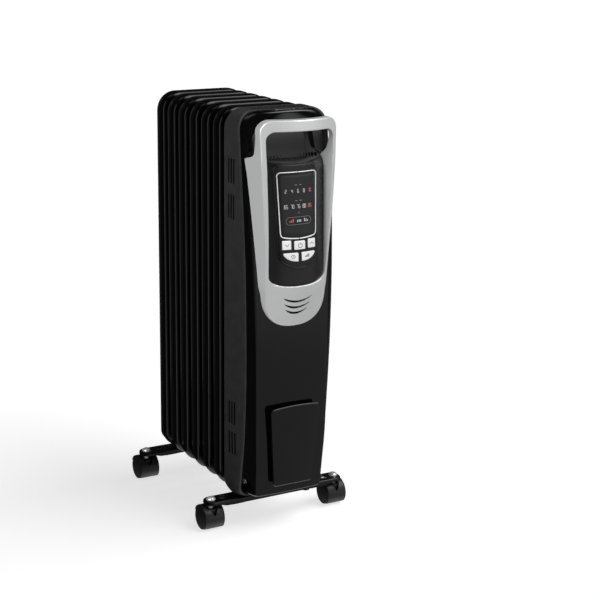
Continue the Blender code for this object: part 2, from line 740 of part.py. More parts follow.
def build_housing():
    shell = housing_body("housing_shell", 0.0, HOUSING_REAR_Y, SATIN_BLACK)
    combine(shell, housing_body("shell_hollow", HOUSING_WALL, 0.02), "DIFFERENCE")
    combine(shell, seam_region("shell_front", GAP / 2), "DIFFERENCE")
    combine(shell, vent_slots(), "DIFFERENCE")
    half, top = HOUSING_HALF_WIDTH - HOUSING_WALL, HOUSING_TOP - HOUSING_WALL
    fin_room = rounded_rectangle(half, 0.020, top, 0.002, HOUSING_TOP_RADIUS - HOUSING_WALL, 5)
    room = prism(fin_room, FIN_7_FACE_Y - 0.0006, 0.02, "Y")
    combine(shell, add_object("fin_room", room), "DIFFERENCE")

    cover = housing_body("front_cover", 0.0, HOUSING_REAR_Y, GLOSS_BLACK)
    combine(cover, housing_body("cover_hollow", HOUSING_WALL, 0.02), "DIFFERENCE")
    combine(cover, seam_region("cover_front", -GAP / 2), "INTERSECT")
    gland_hole = add_cylinder((GLAND_X, GLAND_Y, GLAND_Z), GLAND_RADIUS + GAP, 0.02, "Z", 20)
    combine(cover, add_object("gland_hole", gland_hole), "DIFFERENCE")


# --- Handle bezel --------------------------------------------------------------------------------------


def bezel_front(x, z, inset=0.0):
    ridge_x, ridge_y, middle_y, _ = smooth_row(BEZEL_STATIONS, z)
    return middle_y + inset + (ridge_y - middle_y) * (x / ridge_x) ** 2


def bezel_body(name, inset, low, high, rear_gap, material=None):
    """The bezel's solid block, from its bowed front to the face of the cover behind it."""
    sections = []
    for z in spread(low, high, 12):
        ridge_x, _, _, rear_x = smooth_row(BEZEL_STATIONS, z)
        ridge_x -= inset
        rear_x -= inset
        shares = (1.0, 0.7, 0.36, 0.0, -0.36, -0.7, -1.0)
        front = [(ridge_x * s, bezel_front(ridge_x * s, z, inset)) for s in shares]
        rear = [(rear_x * -s, face_y(rear_x * s, z) - rear_gap) for s in shares]
        sections.append([(x, y, z) for x, y in front + rear])
    return add_object(name, loft(sections), material)


def bezel_outline():
    """Front view of the bezel: rounded top corners, and a bottom edge that sags in one curve."""
    half = 0.0640
    top = arc((half - BEZEL_TOP_RADIUS, BEZEL_TOP - BEZEL_TOP_RADIUS), BEZEL_TOP_RADIUS, 0, 90, 6)
    side = [(x, z) for x, z in top]
    bottom = []
    for angle in spread(-90, 0, 10):
        turn = math.radians(angle)
        power = 2 / 2.4
        x = 0.0510 * abs(math.cos(turn)) ** power
        z = BEZEL_SHOULDER - (BEZEL_SHOULDER - BEZEL_BOTTOM) * abs(math.sin(turn)) ** power
        bottom.append((x, z))
    right = bottom[1:] + [(0.0580, 0.3900), (0.0720, 0.4800), (0.0740, HANDLE_FREE_LOW)] + side
    left = [(-x, z) for x, z in reversed(right)]
    return [bottom[0]] + right + left


def window_half(z):
    """Half the width of the bezel's window, which narrows towards the bottom."""
    share = (z - WINDOW_BOTTOM) / (HANDLE_LOW - WINDOW_BOTTOM)
    return WINDOW_LOW_HALF + (WINDOW_TOP_HALF - WINDOW_LOW_HALF) * share


def window_outline(inset, top, top_radius):
    corner_half = window_half(top) - inset
    right = []
    for angle in spread(-90, 0, 8):
        turn = math.radians(angle)
        power = 2 / 2.6
        z = WINDOW_BOTTOM + inset + WINDOW_LOW_RISE * (1 - abs(math.sin(turn)) ** power)
        right.append(((WINDOW_LOW_HALF - inset) * abs(math.cos(turn)) ** power, z))
    if top_radius:
        centre = (corner_half - top_radius, top - top_radius)
        right += arc(centre, top_radius, 0, 90, 5)
    else:
        right.append((corner_half, top))
    left = [(-x, z) for x, z in reversed(right)]
    return right + left[:-1]


def smile_slot(z, half, bm):
    upper, lower = [], []
    for x in spread(-half, half, 9):
        sag = 0.0065 * (1 - (x / half) ** 2)
        thick = 0.0011 * (1 - 0.6 * abs(x / half))
        upper.append((x, z + 0.004 - sag + thick))
        lower.append((x, z + 0.004 - sag - thick))
    prism(upper + lower[::-1], -0.19, -0.14, "Y", bm)


def handle_clearance():
    """The room behind the handle bar and above the shoulders of the side walls."""
    sections = []
    for z in spread(HANDLE_FREE_LOW, 0.660, 8):
        shares = (1.0, 0.5, 0.0, -0.5, -1.0)
        front = [(0.09 * s, bezel_front(0.055 * s, z) + HANDLE_DEPTH + 0.010 * s * s) for s in shares]
        rear = [(-0.09 * s, -0.08) for s in shares]
        sections.append([(x, y, z) for x, y in front + rear])
    return add_object("handle_clearance", loft(sections))


def build_bezel():
    bezel = bezel_body("handle_bezel", 0.0, 0.316, 0.640, SEAT_GAP, SILVER)
    combine(bezel, add_object("bezel_outline", prism(bezel_outline(), -0.25, 0.0, "Y")), "INTERSECT")
    combine(bezel, handle_clearance(), "DIFFERENCE")
    hollow = bezel_body("bezel_hollow", BEZEL_WALL, 0.345, HANDLE_FREE_LOW - BEZEL_WALL, -0.02)
    combine(bezel, hollow, "DIFFERENCE")
    window = prism(window_outline(0.0, HANDLE_LOW, WINDOW_TOP_RADIUS), -0.25, -0.08, "Y")
    combine(bezel, add_object("bezel_window", window), "DIFFERENCE")
    slots = bmesh.new()
    for z, half in SMILE_SLOTS:
        smile_slot(z, half, slots)
    combine(bezel, add_object("bezel_slots", slots), "DIFFERENCE")


# --- Control pod, display and buttons ------------------------------------------------------------------


def panel_y(x, z):
    """The raised panel's surface: tilted back towards the top and bowed in plan view."""
    return PANEL_TOP_Y - (PANEL_TOP - z) * PANEL_SLOPE + x * x / (2 * PANEL_BOW_RADIUS)


def panel_half(z):
    share = (z - PANEL_BOTTOM) / (PANEL_TOP - PANEL_BOTTOM)
    return PANEL_LOW_HALF + (PANEL_TOP_HALF - PANEL_LOW_HALF) * share


def display_half(z):
    share = (z - DISPLAY_BOTTOM) / (DISPLAY_TOP - DISPLAY_BOTTOM)
    return DISPLAY_LOW_HALF + (DISPLAY_TOP_HALF - DISPLAY_LOW_HALF) * share


def surface_slab(name, front_shift, rear_shift, low, high, half, material=None):
    """A slab that follows the panel's surface, between two depths measured from it."""
    sections = []
    for z in spread(low, high, 3):
        xs = spread(-half, half, 7)
        front = [(x, panel_y(x, z) + front_shift, z) for x in xs]
        rear = [(x, panel_y(x, z) + rear_shift, z) for x in reversed(xs)]
        sections.append(front + rear)
    return add_object(name, loft(sections), material)


def soft_outline(low, high, half_at, low_radius, high_radius, inset=0.0, sag=0.0):
    """Front view of the panel or the display: a tapered rounded shape whose bottom edge sags."""
    low += inset
    high -= inset
    half_low, half_high = half_at(low) - inset, half_at(high) - inset
    right = []
    for x in spread(0.0, half_low - low_radius, 3)[:-1]:
        right.append((x, low + sag * (x / half_low) ** 2))
    start = (half_low - low_radius, low + low_radius + sag * 0.6)
    right += arc(start, low_radius, -80, 0, 4)
    right += arc((half_high - high_radius, high - high_radius), high_radius, 0, 90, 4)
    left = [(-x, z) for x, z in reversed(right)]
    return right + left[:-1]


def panel_outline(inset=0.0):
    return soft_outline(PANEL_BOTTOM, PANEL_TOP, panel_half, 0.014, 0.006, inset, 0.004)


def display_outline(inset=0.0):
    return soft_outline(DISPLAY_BOTTOM, DISPLAY_TOP, display_half, 0.006, 0.006, inset, 0.003)


def rectangle(x_low, x_high, z_low, z_high, inset=0.0):
    x_low, x_high, z_low, z_high = x_low + inset, x_high - inset, z_low + inset, z_high - inset
    return [(x_low, z_low), (x_high, z_low), (x_high, z_high), (x_low, z_high)]


def half_moon(way, inset=0.0):
    """The lower buttons: a straight top, and a bottom edge that sweeps up to the outer corner."""
    inner, outer, high, low = 0.0025 + inset, 0.0262 - inset, 0.4378 - inset, 0.4243 + inset
    points = [(inner, high), (inner, low)]
    points += [(outer + (inner - outer) * s, low + (high - low) * (1 - s) ** 2.4) for s in (0.55, 0.3, 0.12)]
    points += [(outer, 0.4366 + inset), (outer - 0.001, high)]
    return [(way * x, z) for x, z in points]


def button_outlines(inset=0.0):
    return {
        "button_down": rectangle(-0.0275, -0.0137, 0.4422, 0.4562, inset),
        "button_power": rectangle(-0.0092, 0.0092, 0.4415, 0.4548, inset),
        "button_up": rectangle(0.0137, 0.0275, 0.4422, 0.4562, inset),
        "button_timer": half_moon(-1, inset),
        "button_mode": half_moon(1, inset),
    }


def pod_body(name, wall, rear_gap, material=None):
    """The pod's surround, recessed behind the panel, back to the face of the cover."""
    sections = []
    for z in spread(0.383, 0.580, 7):
        half = window_half(z) + 0.0015
        xs = spread(-half, half, 7)
        front = [(x, panel_y(x, min(z, PANEL_TOP)) + PANEL_STEP + wall, z) for x in xs]
        rear = [(x, face_y(x, z) - rear_gap, z) for x in reversed(xs)]
        sections.append(front + rear)
    return add_object(name, loft(sections), material)


def pod_trim(name, inset):
    """The pod's front view, cut at the top by a face that drops towards the front."""
    outline = window_outline(inset, 0.590, 0.0)
    trim = add_object(name, prism(outline, -0.25, -0.08, "Y"))
    drop = inset - GAP
    slope = [
        (-0.2500, PANEL_TOP + 0.0005 - drop),
        (PANEL_TOP_Y, PANEL_TOP + 0.0005 - drop),
        (-0.1280, POD_REAR_TOP - drop),
        (-0.0500, POD_REAR_TOP - drop),
        (-0.0500, 0.600),
        (-0.2500, 0.600),
    ]
    combine(trim, add_object(f"{name}_slope", prism(slope, -0.08, 0.08, "X")), "DIFFERENCE")
    return trim


def build_pod():
    pod = pod_body("control_pod", 0.0, SEAT_GAP, POD_BLACK)
    combine(pod, pod_trim("pod_trim", GAP), "INTERSECT")
    raised = surface_slab("panel_block", 0.0, PANEL_STEP + 0.002, 0.410, 0.566, 0.040)
    panel = add_object("panel_outline", prism(panel_outline(), -0.25, -0.08, "Y"))
    combine(raised, panel, "INTERSECT")
    combine(pod, raised, "UNION")
    hollow = pod_body("pod_hollow", POD_WALL, -0.03)
    combine(hollow, pod_trim("pod_hollow_trim", POD_WALL), "INTERSECT")
    combine(pod, hollow, "DIFFERENCE")
    recess = surface_slab("display_recess", -0.01, DISPLAY_DEPTH + GAP, 0.450, 0.566, 0.040)
    inside = add_object("display_recess_outline", prism(display_outline(), -0.25, -0.08, "Y"))
    combine(recess, inside, "INTERSECT")
    combine(pod, recess, "DIFFERENCE")
    holes = bmesh.new()
    for outline in button_outlines().values():
        prism(outline, -0.20, -0.10, "Y", holes)
    combine(pod, add_object("button_holes", holes), "DIFFERENCE")
    ribs = bmesh.new()
    for x in spread(-0.040, 0.040, 13):
        add_box((x - 0.0012, -0.1345, POD_REAR_TOP - 0.010), (x + 0.0012, -0.1285, 0.60), ribs)
    combine(pod, add_object("pod_vents", ribs), "DIFFERENCE")


def build_display():
    ring_inset = GAP
    glass_inset = ring_inset + DISPLAY_RING_WIDTH + GAP
    ring = surface_slab("display_ring", -0.0003, DISPLAY_DEPTH, 0.450, 0.566, 0.040, CHROME_TRIM)
    outside = add_object("ring_outside", prism(display_outline(ring_inset), -0.25, -0.08, "Y"))
    combine(ring, outside, "INTERSECT")
    inner = display_outline(ring_inset + DISPLAY_RING_WIDTH)
    combine(ring, add_object("ring_inside", prism(inner, -0.25, -0.08, "Y")), "DIFFERENCE")
    glass = surface_slab("display_window", 0.0, DISPLAY_DEPTH, 0.450, 0.566, 0.040, DISPLAY)
    pane = add_object("window_outline", prism(display_outline(glass_inset), -0.25, -0.08, "Y"))
    combine(glass, pane, "INTERSECT")


def build_buttons():
    for name, outline in button_outlines(BUTTON_CLEARANCE).items():
        button = surface_slab(
            name, -BUTTON_PROUD, PANEL_STEP + POD_WALL + 0.0007, 0.420, 0.468, 0.034, BUTTON_SILVER
        )
        combine(button, add_object(f"{name}_outline", prism(outline, -0.25, -0.08, "Y")), "INTERSECT")
        x = (min(p[0] for p in outline) + max(p[0] for p in outline)) / 2
        z = (min(p[1] for p in outline) + max(p[1] for p in outline)) / 2
        put_origin_at(button, (x, panel_y(x, z), z))


# --- Cord-wrap plate -----------------------------------------------------------------------------------


def build_cord_wrap():
    """A tapered plate on a short post. The cord goes round the post, behind the plate."""
    lean = (WRAP_TOP_Y - WRAP_LOW_Y) / (WRAP_TOP - WRAP_BOTTOM)

    def plate_y(z):
        return WRAP_LOW_Y + lean * (z - WRAP_BOTTOM)

    radius = 0.005
    half = WRAP_TOP_HALF - radius
    outline = arc((WRAP_LOW_HALF - radius, WRAP_BOTTOM + radius), radius, -90, 0, 3)
    outline += arc((half, WRAP_TOP - radius), radius, 0, 90, 3) + [(0.0, WRAP_TOP + 0.0015)]
    outline += arc((-half, WRAP_TOP - radius), radius, 90, 180, 3)
    outline += arc((-WRAP_LOW_HALF + radius, WRAP_BOTTOM + radius), radius, 180, 270, 3)
    bm = prism(outline, 0.0, WRAP_THICKNESS, "Y")
    for vert in bm.verts:
        vert.co.y += plate_y(vert.co.z)
    plate = add_object("cord_wrap_plate", bm, GLOSS_BLACK)
    sections = []
    for z in (WRAP_POST_Z[0], sum(WRAP_POST_Z) / 2, WRAP_POST_Z[1]):
        xs = spread(-WRAP_POST_HALF, WRAP_POST_HALF, 5)
        front = [(x, plate_y(z) + WRAP_THICKNESS / 2, z) for x in xs]
        rear = [(x, face_y(x, z) - SEAT_GAP, z) for x in reversed(xs)]
        sections.append(front + rear)
    combine(plate, add_object("wrap_post", loft(sections)), "UNION")


# --- Inside the housing --------------------------------------------------------------------------------



def build_element():
    """The heating element: a hexagon plug on the front hub and a sheathed loop through the fins."""
    flange_y = HUB_FRONT_Y - GAP - 0.003
    plug = add_cylinder((0.0, flange_y, HUB_LOW_Z), 0.0180, 0.006, "Y", 6)
    element = add_object("heating_element", plug, BRASS)
    rod_rear = FIN_1_FACE_Y - HUB_REACH_FRONT + 0.004
    length = rod_rear - flange_y
    rod = add_cylinder((0.0, flange_y + length / 2, HUB_LOW_Z), 0.0060, length, "Y", 16)
    combine(element, add_object("element_rod", rod), "UNION")
    tip = add_cylinder((0.0, flange_y - 0.006, HUB_LOW_Z), 0.0040, 0.010, "Y", 12)
    combine(element, add_object("element_tip", tip), "UNION")


def build_filler_plug():
    y = HUB_FRONT_Y - GAP
    head = add_cylinder((0.0, y - 0.0015, HUB_HIGH_Z), 0.0120, 0.003, "Y", 6)
    plug = add_object("oil_filler_plug", head, BRASS)
    shank = add_cylinder((0.0, y + 0.0045, HUB_HIGH_Z), HUB_BORE_RADIUS - GAP, 0.011, "Y", 16)
    combine(plug, add_object("plug_shank", shank), "UNION")


def build_electronics():
    sheet = rectangle(-0.066, 0.066, 0.135, 0.560)
    shield = add_object("heat_shield", prism(sheet, SHIELD_Y - 0.001, SHIELD_Y, "Y"), SHIELD)
    holes = bmesh.new()
    for z in (0.160, 0.345, 0.535):
        for x in (-0.058, 0.058):
            add_cylinder((x, SHIELD_Y, z), 0.0022, 0.01, "Y", 12, holes)
    combine(shield, add_object("shield_holes", holes), "DIFFERENCE")
    front = SHIELD_Y - 0.001 - GAP
    power = add_box((-0.038, front - 0.0016, 0.230), (0.038, front, 0.330))
    board = add_object("power_board", power, BOARD)
    relay = add_box((-0.030, front - 0.018, 0.250), (-0.008, front - 0.001, 0.268))
    combine(board, add_object("relay", relay), "UNION")
    transformer = add_box((0.004, front - 0.022, 0.285), (0.032, front - 0.001, 0.315))
    combine(board, add_object("transformer", transformer), "UNION")
    thermostat = add_cylinder((0.0, front - 0.006, 0.190), 0.0085, 0.012, "Y", 20)
    add_object("limit_thermostat", thermostat, WHITE_PLASTIC)
    sections = []
    for z in (0.424, 0.490, 0.556):
        y = panel_y(0.0, z) + PANEL_STEP + POD_WALL + 0.0055
        xs = (-0.028, 0.028)
        board_front = [(x, y, z) for x in xs]
        board_rear = [(x, y + 0.0016, z) for x in reversed(xs)]
        sections.append(board_front + board_rear)
    add_object("control_board", loft(sections), BOARD)


def build_tip_switch():
    """A case open at the bottom, with a weight that hangs from a pin across it."""
    x, y, z = SWITCH_X, SWITCH_Y, PENDULUM_PIN_Z
    case_block = add_box((x - 0.014, y - 0.008, 0.070), (x + 0.014, y + 0.008, z + 0.008))
    case = add_object("tip_switch_case", case_block, WHITE_PLASTIC)
    room = add_box((x - 0.012, y - 0.0060, 0.060), (x + 0.012, y + 0.0060, z + 0.006))
    combine(case, add_object("switch_room", room), "DIFFERENCE")
    pin = add_cylinder((x, y, z), 0.0015, 0.014, "Y", 12)
    combine(case, add_object("switch_pin", pin), "UNION")
    bob = add_cylinder((0.0, 0.0, -0.0255), 0.0055, 0.0090, "Y", 20)
    pendulum = add_object("tip_switch_pendulum", bob, BRASS)
    pendulum.location = (x, y, z)
    rod = add_box((-0.0012, -0.0015, -0.0250), (0.0012, 0.0015, 0.0000))
    ring = add_cylinder((0.0, 0.0, 0.0), 0.0034, 0.0060, "Y", 16)
    bore = add_cylinder((0.0, 0.0, 0.0), 0.0015 + GAP, 0.0200, "Y", 12)
    for piece, operation in ((rod, "UNION"), (ring, "UNION"), (bore, "DIFFERENCE")):
        helper = add_object("pendulum_piece", piece)
        helper.location = (x, y, z)
        combine(pendulum, helper, operation)


def build_gland():
    """The cord inlet: a collar in the housing's floor, open where the cord would enter."""
    profile = [
        (GLAND_RADIUS, GLAND_Z + 0.0075),
        (GLAND_RADIUS, GLAND_Z - 0.0040),
        (0.0040, GLAND_Z - 0.0040),
        (0.0040, GLAND_Z + 0.0075),
        (GLAND_RADIUS, GLAND_Z + 0.0075),
    ]
    turned("cord_gland", profile, NYLON, (GLAND_X, GLAND_Y, 0.0), "Z", 20)


build_fins()
for bracket_side in ("front", "rear"):
    build_bracket(bracket_side)
    build_clamp(bracket_side)
    for caster_side in ("left", "right"):
        build_caster(bracket_side, caster_side)
build_housing()
build_bezel()
build_pod()
build_display()
build_buttons()
build_cord_wrap()
build_element()
build_filler_plug()
build_electronics()
build_tip_switch()
build_gland()
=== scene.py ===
"""Oil filled radiator heater: the visual model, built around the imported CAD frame."""

import math

import bmesh
import bpy
import numpy as np
from mathutils import Matrix, Vector


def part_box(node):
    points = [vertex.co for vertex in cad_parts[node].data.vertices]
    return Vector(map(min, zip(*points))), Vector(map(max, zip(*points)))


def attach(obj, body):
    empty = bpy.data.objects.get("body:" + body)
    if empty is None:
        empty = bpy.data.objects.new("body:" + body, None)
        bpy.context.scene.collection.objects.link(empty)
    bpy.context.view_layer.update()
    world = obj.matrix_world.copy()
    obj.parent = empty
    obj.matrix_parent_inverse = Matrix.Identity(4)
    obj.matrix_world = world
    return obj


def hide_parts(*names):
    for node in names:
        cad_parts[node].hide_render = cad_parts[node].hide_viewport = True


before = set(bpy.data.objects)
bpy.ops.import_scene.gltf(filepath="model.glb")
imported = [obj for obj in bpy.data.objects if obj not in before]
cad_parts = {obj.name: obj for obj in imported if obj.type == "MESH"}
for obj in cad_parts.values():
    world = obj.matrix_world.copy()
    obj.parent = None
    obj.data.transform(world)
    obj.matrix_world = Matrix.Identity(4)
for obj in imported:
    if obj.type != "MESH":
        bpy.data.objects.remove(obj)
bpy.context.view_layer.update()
SCENE = bpy.context.scene


# --- Materials ---


def set_inputs(made, **values):
    """Sets a node's inputs by name, with underscores for spaces."""
    for key, value in values.items():
        made.inputs[key.replace("_", " ")].default_value = value


def node(tree, kind, **values):
    """A new node, with its properties or its inputs set by name."""
    made = tree.nodes.new(kind)
    for key, value in values.items():
        if hasattr(made, key):
            setattr(made, key, value)
        else:
            set_inputs(made, **{key: value})
    return made


def maths(tree, operation, *values):
    """A maths node's output. Each value is a number or another node's output."""
    made = node(tree, "ShaderNodeMath", operation=operation)
    for slot, value in enumerate(values):
        if isinstance(value, (int, float)):
            made.inputs[slot].default_value = value
        else:
            tree.links.new(value, made.inputs[slot])
    return made.outputs[0]


# The middle part of a noise's range, which colour and roughness are spread over.
NOISE_SPREAD = (0.3, 0.7)


def material(
    name,
    colour,
    rough,
    metallic=0.0,
    tint=0.15,
    tint_scale=60.0,
    rough_vary=0.04,
    rough_scale=25.0,
    bump=0.1,
    bump_scale=900.0,
    bump_depth=0.00005,
    stretch=(1.0, 1.0, 1.0),
    coat=0.0,
    specular=0.5,
    wave=0.0,
    wave_scale=40.0,
):
    """A paint, plastic or metal: mottled colour and roughness, and a fine grain over a slow ripple."""
    made = bpy.data.materials.new(name)
    made.use_nodes = True
    tree = made.node_tree
    shader = tree.nodes["Principled BSDF"]
    link = tree.links.new
    set_inputs(shader, Metallic=metallic, Specular_IOR_Level=specular)
    set_inputs(shader, Coat_Weight=coat, Coat_Roughness=0.05)
    place = node(tree, "ShaderNodeTexCoord")
    mapping = node(tree, "ShaderNodeMapping", Scale=stretch)
    link(place.outputs["Object"], mapping.inputs["Vector"])

    def noise(scale, detail):
        made_noise = node(tree, "ShaderNodeTexNoise", Scale=scale, Detail=detail, Roughness=0.55)
        link(mapping.outputs["Vector"], made_noise.inputs["Vector"])
        return made_noise.outputs["Fac"]

    ramp = node(tree, "ShaderNodeValToRGB")
    for stop, place_at, factor in zip(ramp.color_ramp.elements, NOISE_SPREAD, (1 - tint, 1 + tint)):
        stop.position = place_at
        stop.color = (*(min(c * factor, 1.0) for c in colour), 1.0)
    link(noise(tint_scale, 4.0), ramp.inputs["Fac"])
    link(ramp.outputs["Color"], shader.inputs["Base Color"])
    spread_rough = node(tree, "ShaderNodeMapRange", From_Min=NOISE_SPREAD[0], From_Max=NOISE_SPREAD[1])
    set_inputs(spread_rough, To_Min=max(rough - rough_vary, 0.01), To_Max=rough + rough_vary)
    link(noise(rough_scale, 5.0), spread_rough.inputs["Value"])
    link(spread_rough.outputs["Result"], shader.inputs["Roughness"])
    grain = node(tree, "ShaderNodeBump", Strength=bump, Distance=bump_depth)
    link(noise(bump_scale, 3.0), grain.inputs["Height"])
    normal = grain
    if wave:
        ripple = node(tree, "ShaderNodeBump", Strength=wave, Distance=0.0005)
        link(noise(wave_scale, 1.0), ripple.inputs["Height"])
        link(grain.outputs["Normal"], ripple.inputs["Normal"])
        normal = ripple
    link(normal.outputs["Normal"], shader.inputs["Normal"])
    made.diffuse_color = (*colour, 1.0)
    return made


def glow(name, colour, strength):
    """A lit mark behind the smoked window."""
    made = material(name, colour, 0.4, tint=0.06, tint_scale=400.0)
    shader = made.node_tree.nodes["Principled BSDF"]
    set_inputs(shader, Emission_Color=(*colour, 1.0), Emission_Strength=strength)
    return made


ENAMEL = material(
    "enamel_black", (0.0012, 0.0012, 0.0013), 0.16, wave=0.10, wave_scale=90.0, bump_scale=500.0
)
STEEL_PAINT = material("bracket_black", (0.009, 0.009, 0.0095), 0.30, bump=0.25, bump_scale=700.0)
SATIN = material(
    "shell_satin", (0.082, 0.082, 0.083), 0.44, bump=0.30, bump_scale=1500.0, rough_vary=0.03
)
GLOSS = material("cover_gloss", (0.004, 0.004, 0.0045), 0.05, bump=0.03, rough_vary=0.015, coat=0.4)
SILVER = material(
    "bezel_silver",
    (0.66, 0.665, 0.67),
    0.34,
    metallic=0.30,
    tint=0.05,
    tint_scale=1400.0,
    bump=0.12,
    bump_scale=2600.0,
    rough_vary=0.03,
)
POD = material("pod_black", (0.024, 0.024, 0.025), 0.25, bump=0.07, bump_scale=1600.0)
SMOKED = material("display_smoked", (0.038, 0.039, 0.041), 0.20, tint=0.08, bump=0.02, rough_vary=0.02)
TRIM = material("display_trim", (0.92, 0.92, 0.93), 0.25, metallic=0.15, tint=0.03, bump=0.05)
KEYS = material("button_silver", (0.80, 0.80, 0.80), 0.42, tint=0.03, bump=0.15, bump_scale=2500.0)
PRINT = material("print_black", (0.012, 0.012, 0.013), 0.5, tint=0.2, bump=0.1)
ZINC = material(
    "zinc_plate", (0.78, 0.78, 0.79), 0.30, metallic=0.6, tint=0.10, tint_scale=300.0, bump=0.15
)
# Near-black, barely glossy plates behind the side vents: painted shade standing in for the dark inside of
# the housing.
VENT_SHADE = material("vent_shade_black", (0.0015, 0.0015, 0.0016), 0.7, bump=0.2, specular=0.1)
NYLON = material("caster_nylon", (0.030, 0.030, 0.031), 0.42, bump=0.30, bump_scale=1300.0)
TREAD = material("caster_wheel", (0.050, 0.050, 0.051), 0.45, bump=0.35, bump_scale=1000.0)
BRASS = material("brass", (0.62, 0.45, 0.20), 0.30, metallic=1.0, tint=0.12, bump=0.2)
BOARD = material("board_green", (0.02, 0.12, 0.05), 0.5, tint=0.35, tint_scale=260.0, bump=0.4)
SHEET = material(
    "shield_sheet", (0.60, 0.60, 0.61), 0.38, metallic=1.0, stretch=(1.0, 1.0, 14.0), bump=0.25
)
WHITE = material("white_plastic", (0.74, 0.73, 0.69), 0.5, tint=0.05, bump=0.2)
LIT_WHITE = glow("mark_white", (0.80, 0.80, 0.82), 0.35)
LIT_RED = glow("mark_red", (0.85, 0.16, 0.18), 0.45)
LIT_GREY = glow("mark_grey", (0.30, 0.30, 0.31), 0.12)


# --- Mesh helpers ---


def strip(rows, wrap=False, close=False):
    """Quads through rows of points. wrap joins each row's ends, close joins the last row and the first."""
    rows = [np.asarray(row, float) for row in rows]
    count = len(rows[0])
    points = np.concatenate(rows)
    faces = []
    last = len(rows) if close else len(rows) - 1
    for i in range(last):
        a, b = i * count, ((i + 1) % len(rows)) * count
        for j in range(count if wrap else count - 1):
            k = (j + 1) % count
            faces.append((a + j, a + k, b + k, b + j))
    return points, faces


def disc(row):
    """A row of points closed by a fan about their middle."""
    row = np.asarray(row, float)
    points = np.vstack([row, row.mean(0)])
    count = len(row)
    return points, [(i, (i + 1) % count, count) for i in range(count)]


def tube(rows):
    """Rows of points joined into a closed body: its sides and its two ends."""
    return [strip(rows, wrap=True), disc(rows[0]), disc(rows[-1])]


def lathe(profile, origin, axis, steps=48):
    """A closed (radius, height) profile turned about an axis through the origin given."""
    turns = np.linspace(0, 2 * math.pi, steps, endpoint=False)
    rows = [[(r * math.cos(t), r * math.sin(t), h) for r, h in profile] for t in turns]
    points, faces = strip(rows, close=True)
    spin = {
        "X": Matrix.Rotation(math.radians(90), 3, "Y"),
        "Y": Matrix.Rotation(math.radians(-90), 3, "X"),
        "Z": Matrix.Identity(3),
    }[axis]
    return points @ np.array(spin).T + np.asarray(origin, float), faces


def piece(name, shapes, finish, body="heater", nodes=(), angle=38.0, weld=0.00002):
    """One object from several shapes, riding on a CAD body."""
    if isinstance(shapes, tuple):
        shapes = [shapes]
    points, faces, start = [], [], 0
    for shape_points, shape_faces in shapes:
        points.append(shape_points)
        faces += [tuple(i + start for i in face) for face in shape_faces]
        start += len(shape_points)
    mesh = bpy.data.meshes.new(name)
    mesh.from_pydata(np.concatenate(points).tolist(), [], faces)
    bm = bmesh.new()
    bm.from_mesh(mesh)
    bmesh.ops.remove_doubles(bm, verts=bm.verts, dist=weld)
    bmesh.ops.dissolve_degenerate(bm, edges=bm.edges, dist=weld / 4)
    bmesh.ops.recalc_face_normals(bm, faces=bm.faces)
    bm.to_mesh(mesh)
    bm.free()
    made = bpy.data.objects.new(name, mesh)
    SCENE.collection.objects.link(made)
    dress(made, finish, angle)
    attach(made, body)
    if nodes:
        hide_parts(*nodes)
    return made


def dress(obj, finish, angle=38.0):
    """Gives an object its finish, smooth but for edges sharper than the angle in degrees."""
    obj.data.materials.clear()
    obj.data.materials.append(finish)
    obj.data.shade_smooth()
    obj.data.set_sharp_from_angle(angle=math.radians(angle))


def cut(target, shapes, name):
    """A Boolean cut by the given shapes, applied at once."""
    cutter = piece(name, shapes, PRINT)
    modifier = target.modifiers.new(name, "BOOLEAN")
    modifier.operation = "DIFFERENCE"
    modifier.solver = "EXACT"
    modifier.object = cutter
    apply_all(target)
    bpy.data.objects.remove(cutter, do_unlink=True)


def apply_all(obj):
    """The object's mesh with its modifiers made final."""
    bpy.context.view_layer.update()
    graph = bpy.context.evaluated_depsgraph_get()
    mesh = bpy.data.meshes.new_from_object(obj.evaluated_get(graph))
    obj.modifiers.clear()
    obj.data = mesh
    mesh.shade_smooth()
    mesh.set_sharp_from_angle(angle=math.radians(32))


def thicken(obj, thickness):
    """Gives a sheet a thickness behind its face."""
    solid = obj.modifiers.new("wall", "SOLIDIFY")
    solid.thickness = thickness
    solid.offset = -1.0
    solid.use_even_offset = False
    apply_all(obj)


def arc(centre, radius, start, end, steps):
    """Points round part of a circle, from one angle in degrees to another."""
    turn = np.radians(np.linspace(start, end, steps + 1))
    return np.column_stack([centre[0] + radius * np.cos(turn), centre[1] + radius * np.sin(turn)])


def line(start, end, steps):
    """The points strictly between two ends."""
    share = np.linspace(0, 1, steps + 1)[1:-1, None]
    return np.asarray(start) * (1 - share) + np.asarray(end) * share


def loop(half, low, high, low_radius, high_radius, corner=8, side=30, end=8):
    """A rounded rectangle with points all along its sides, the same number for any size."""
    a, b = half - low_radius, half - high_radius
    return np.vstack(
        [
            arc((a, low + low_radius), low_radius, -90, 0, corner),
            line((half, low + low_radius), (half, high - high_radius), side),
            arc((b, high - high_radius), high_radius, 0, 90, corner),
            line((b, high), (-b, high), end),
            arc((-b, high - high_radius), high_radius, 90, 180, corner),
            line((-half, high - high_radius), (-half, low + low_radius), side),
            arc((-a, low + low_radius), low_radius, 180, 270, corner),
            line((-a, low), (a, low), end),
        ]
    )


def raise_to(flat, y):
    """A loop of (x, z) points at a depth, which is one number or one for each point."""
    return np.column_stack([flat[:, 0], np.broadcast_to(y, len(flat)), flat[:, 1]])


def lay_at(flat, z):
    """A loop of (x, y) points at a height, which is one number or one for each point."""
    return np.column_stack([flat, np.broadcast_to(z, len(flat))])


def stand_at(x, flat):
    """A loop of (y, z) points at a side distance, which is one number or one for each point."""
    return np.column_stack([np.broadcast_to(x, len(flat)), flat])


def unit_rows(rows):
    """Each row scaled to length 1."""
    return rows / np.linalg.norm(rows, axis=1)[:, None]


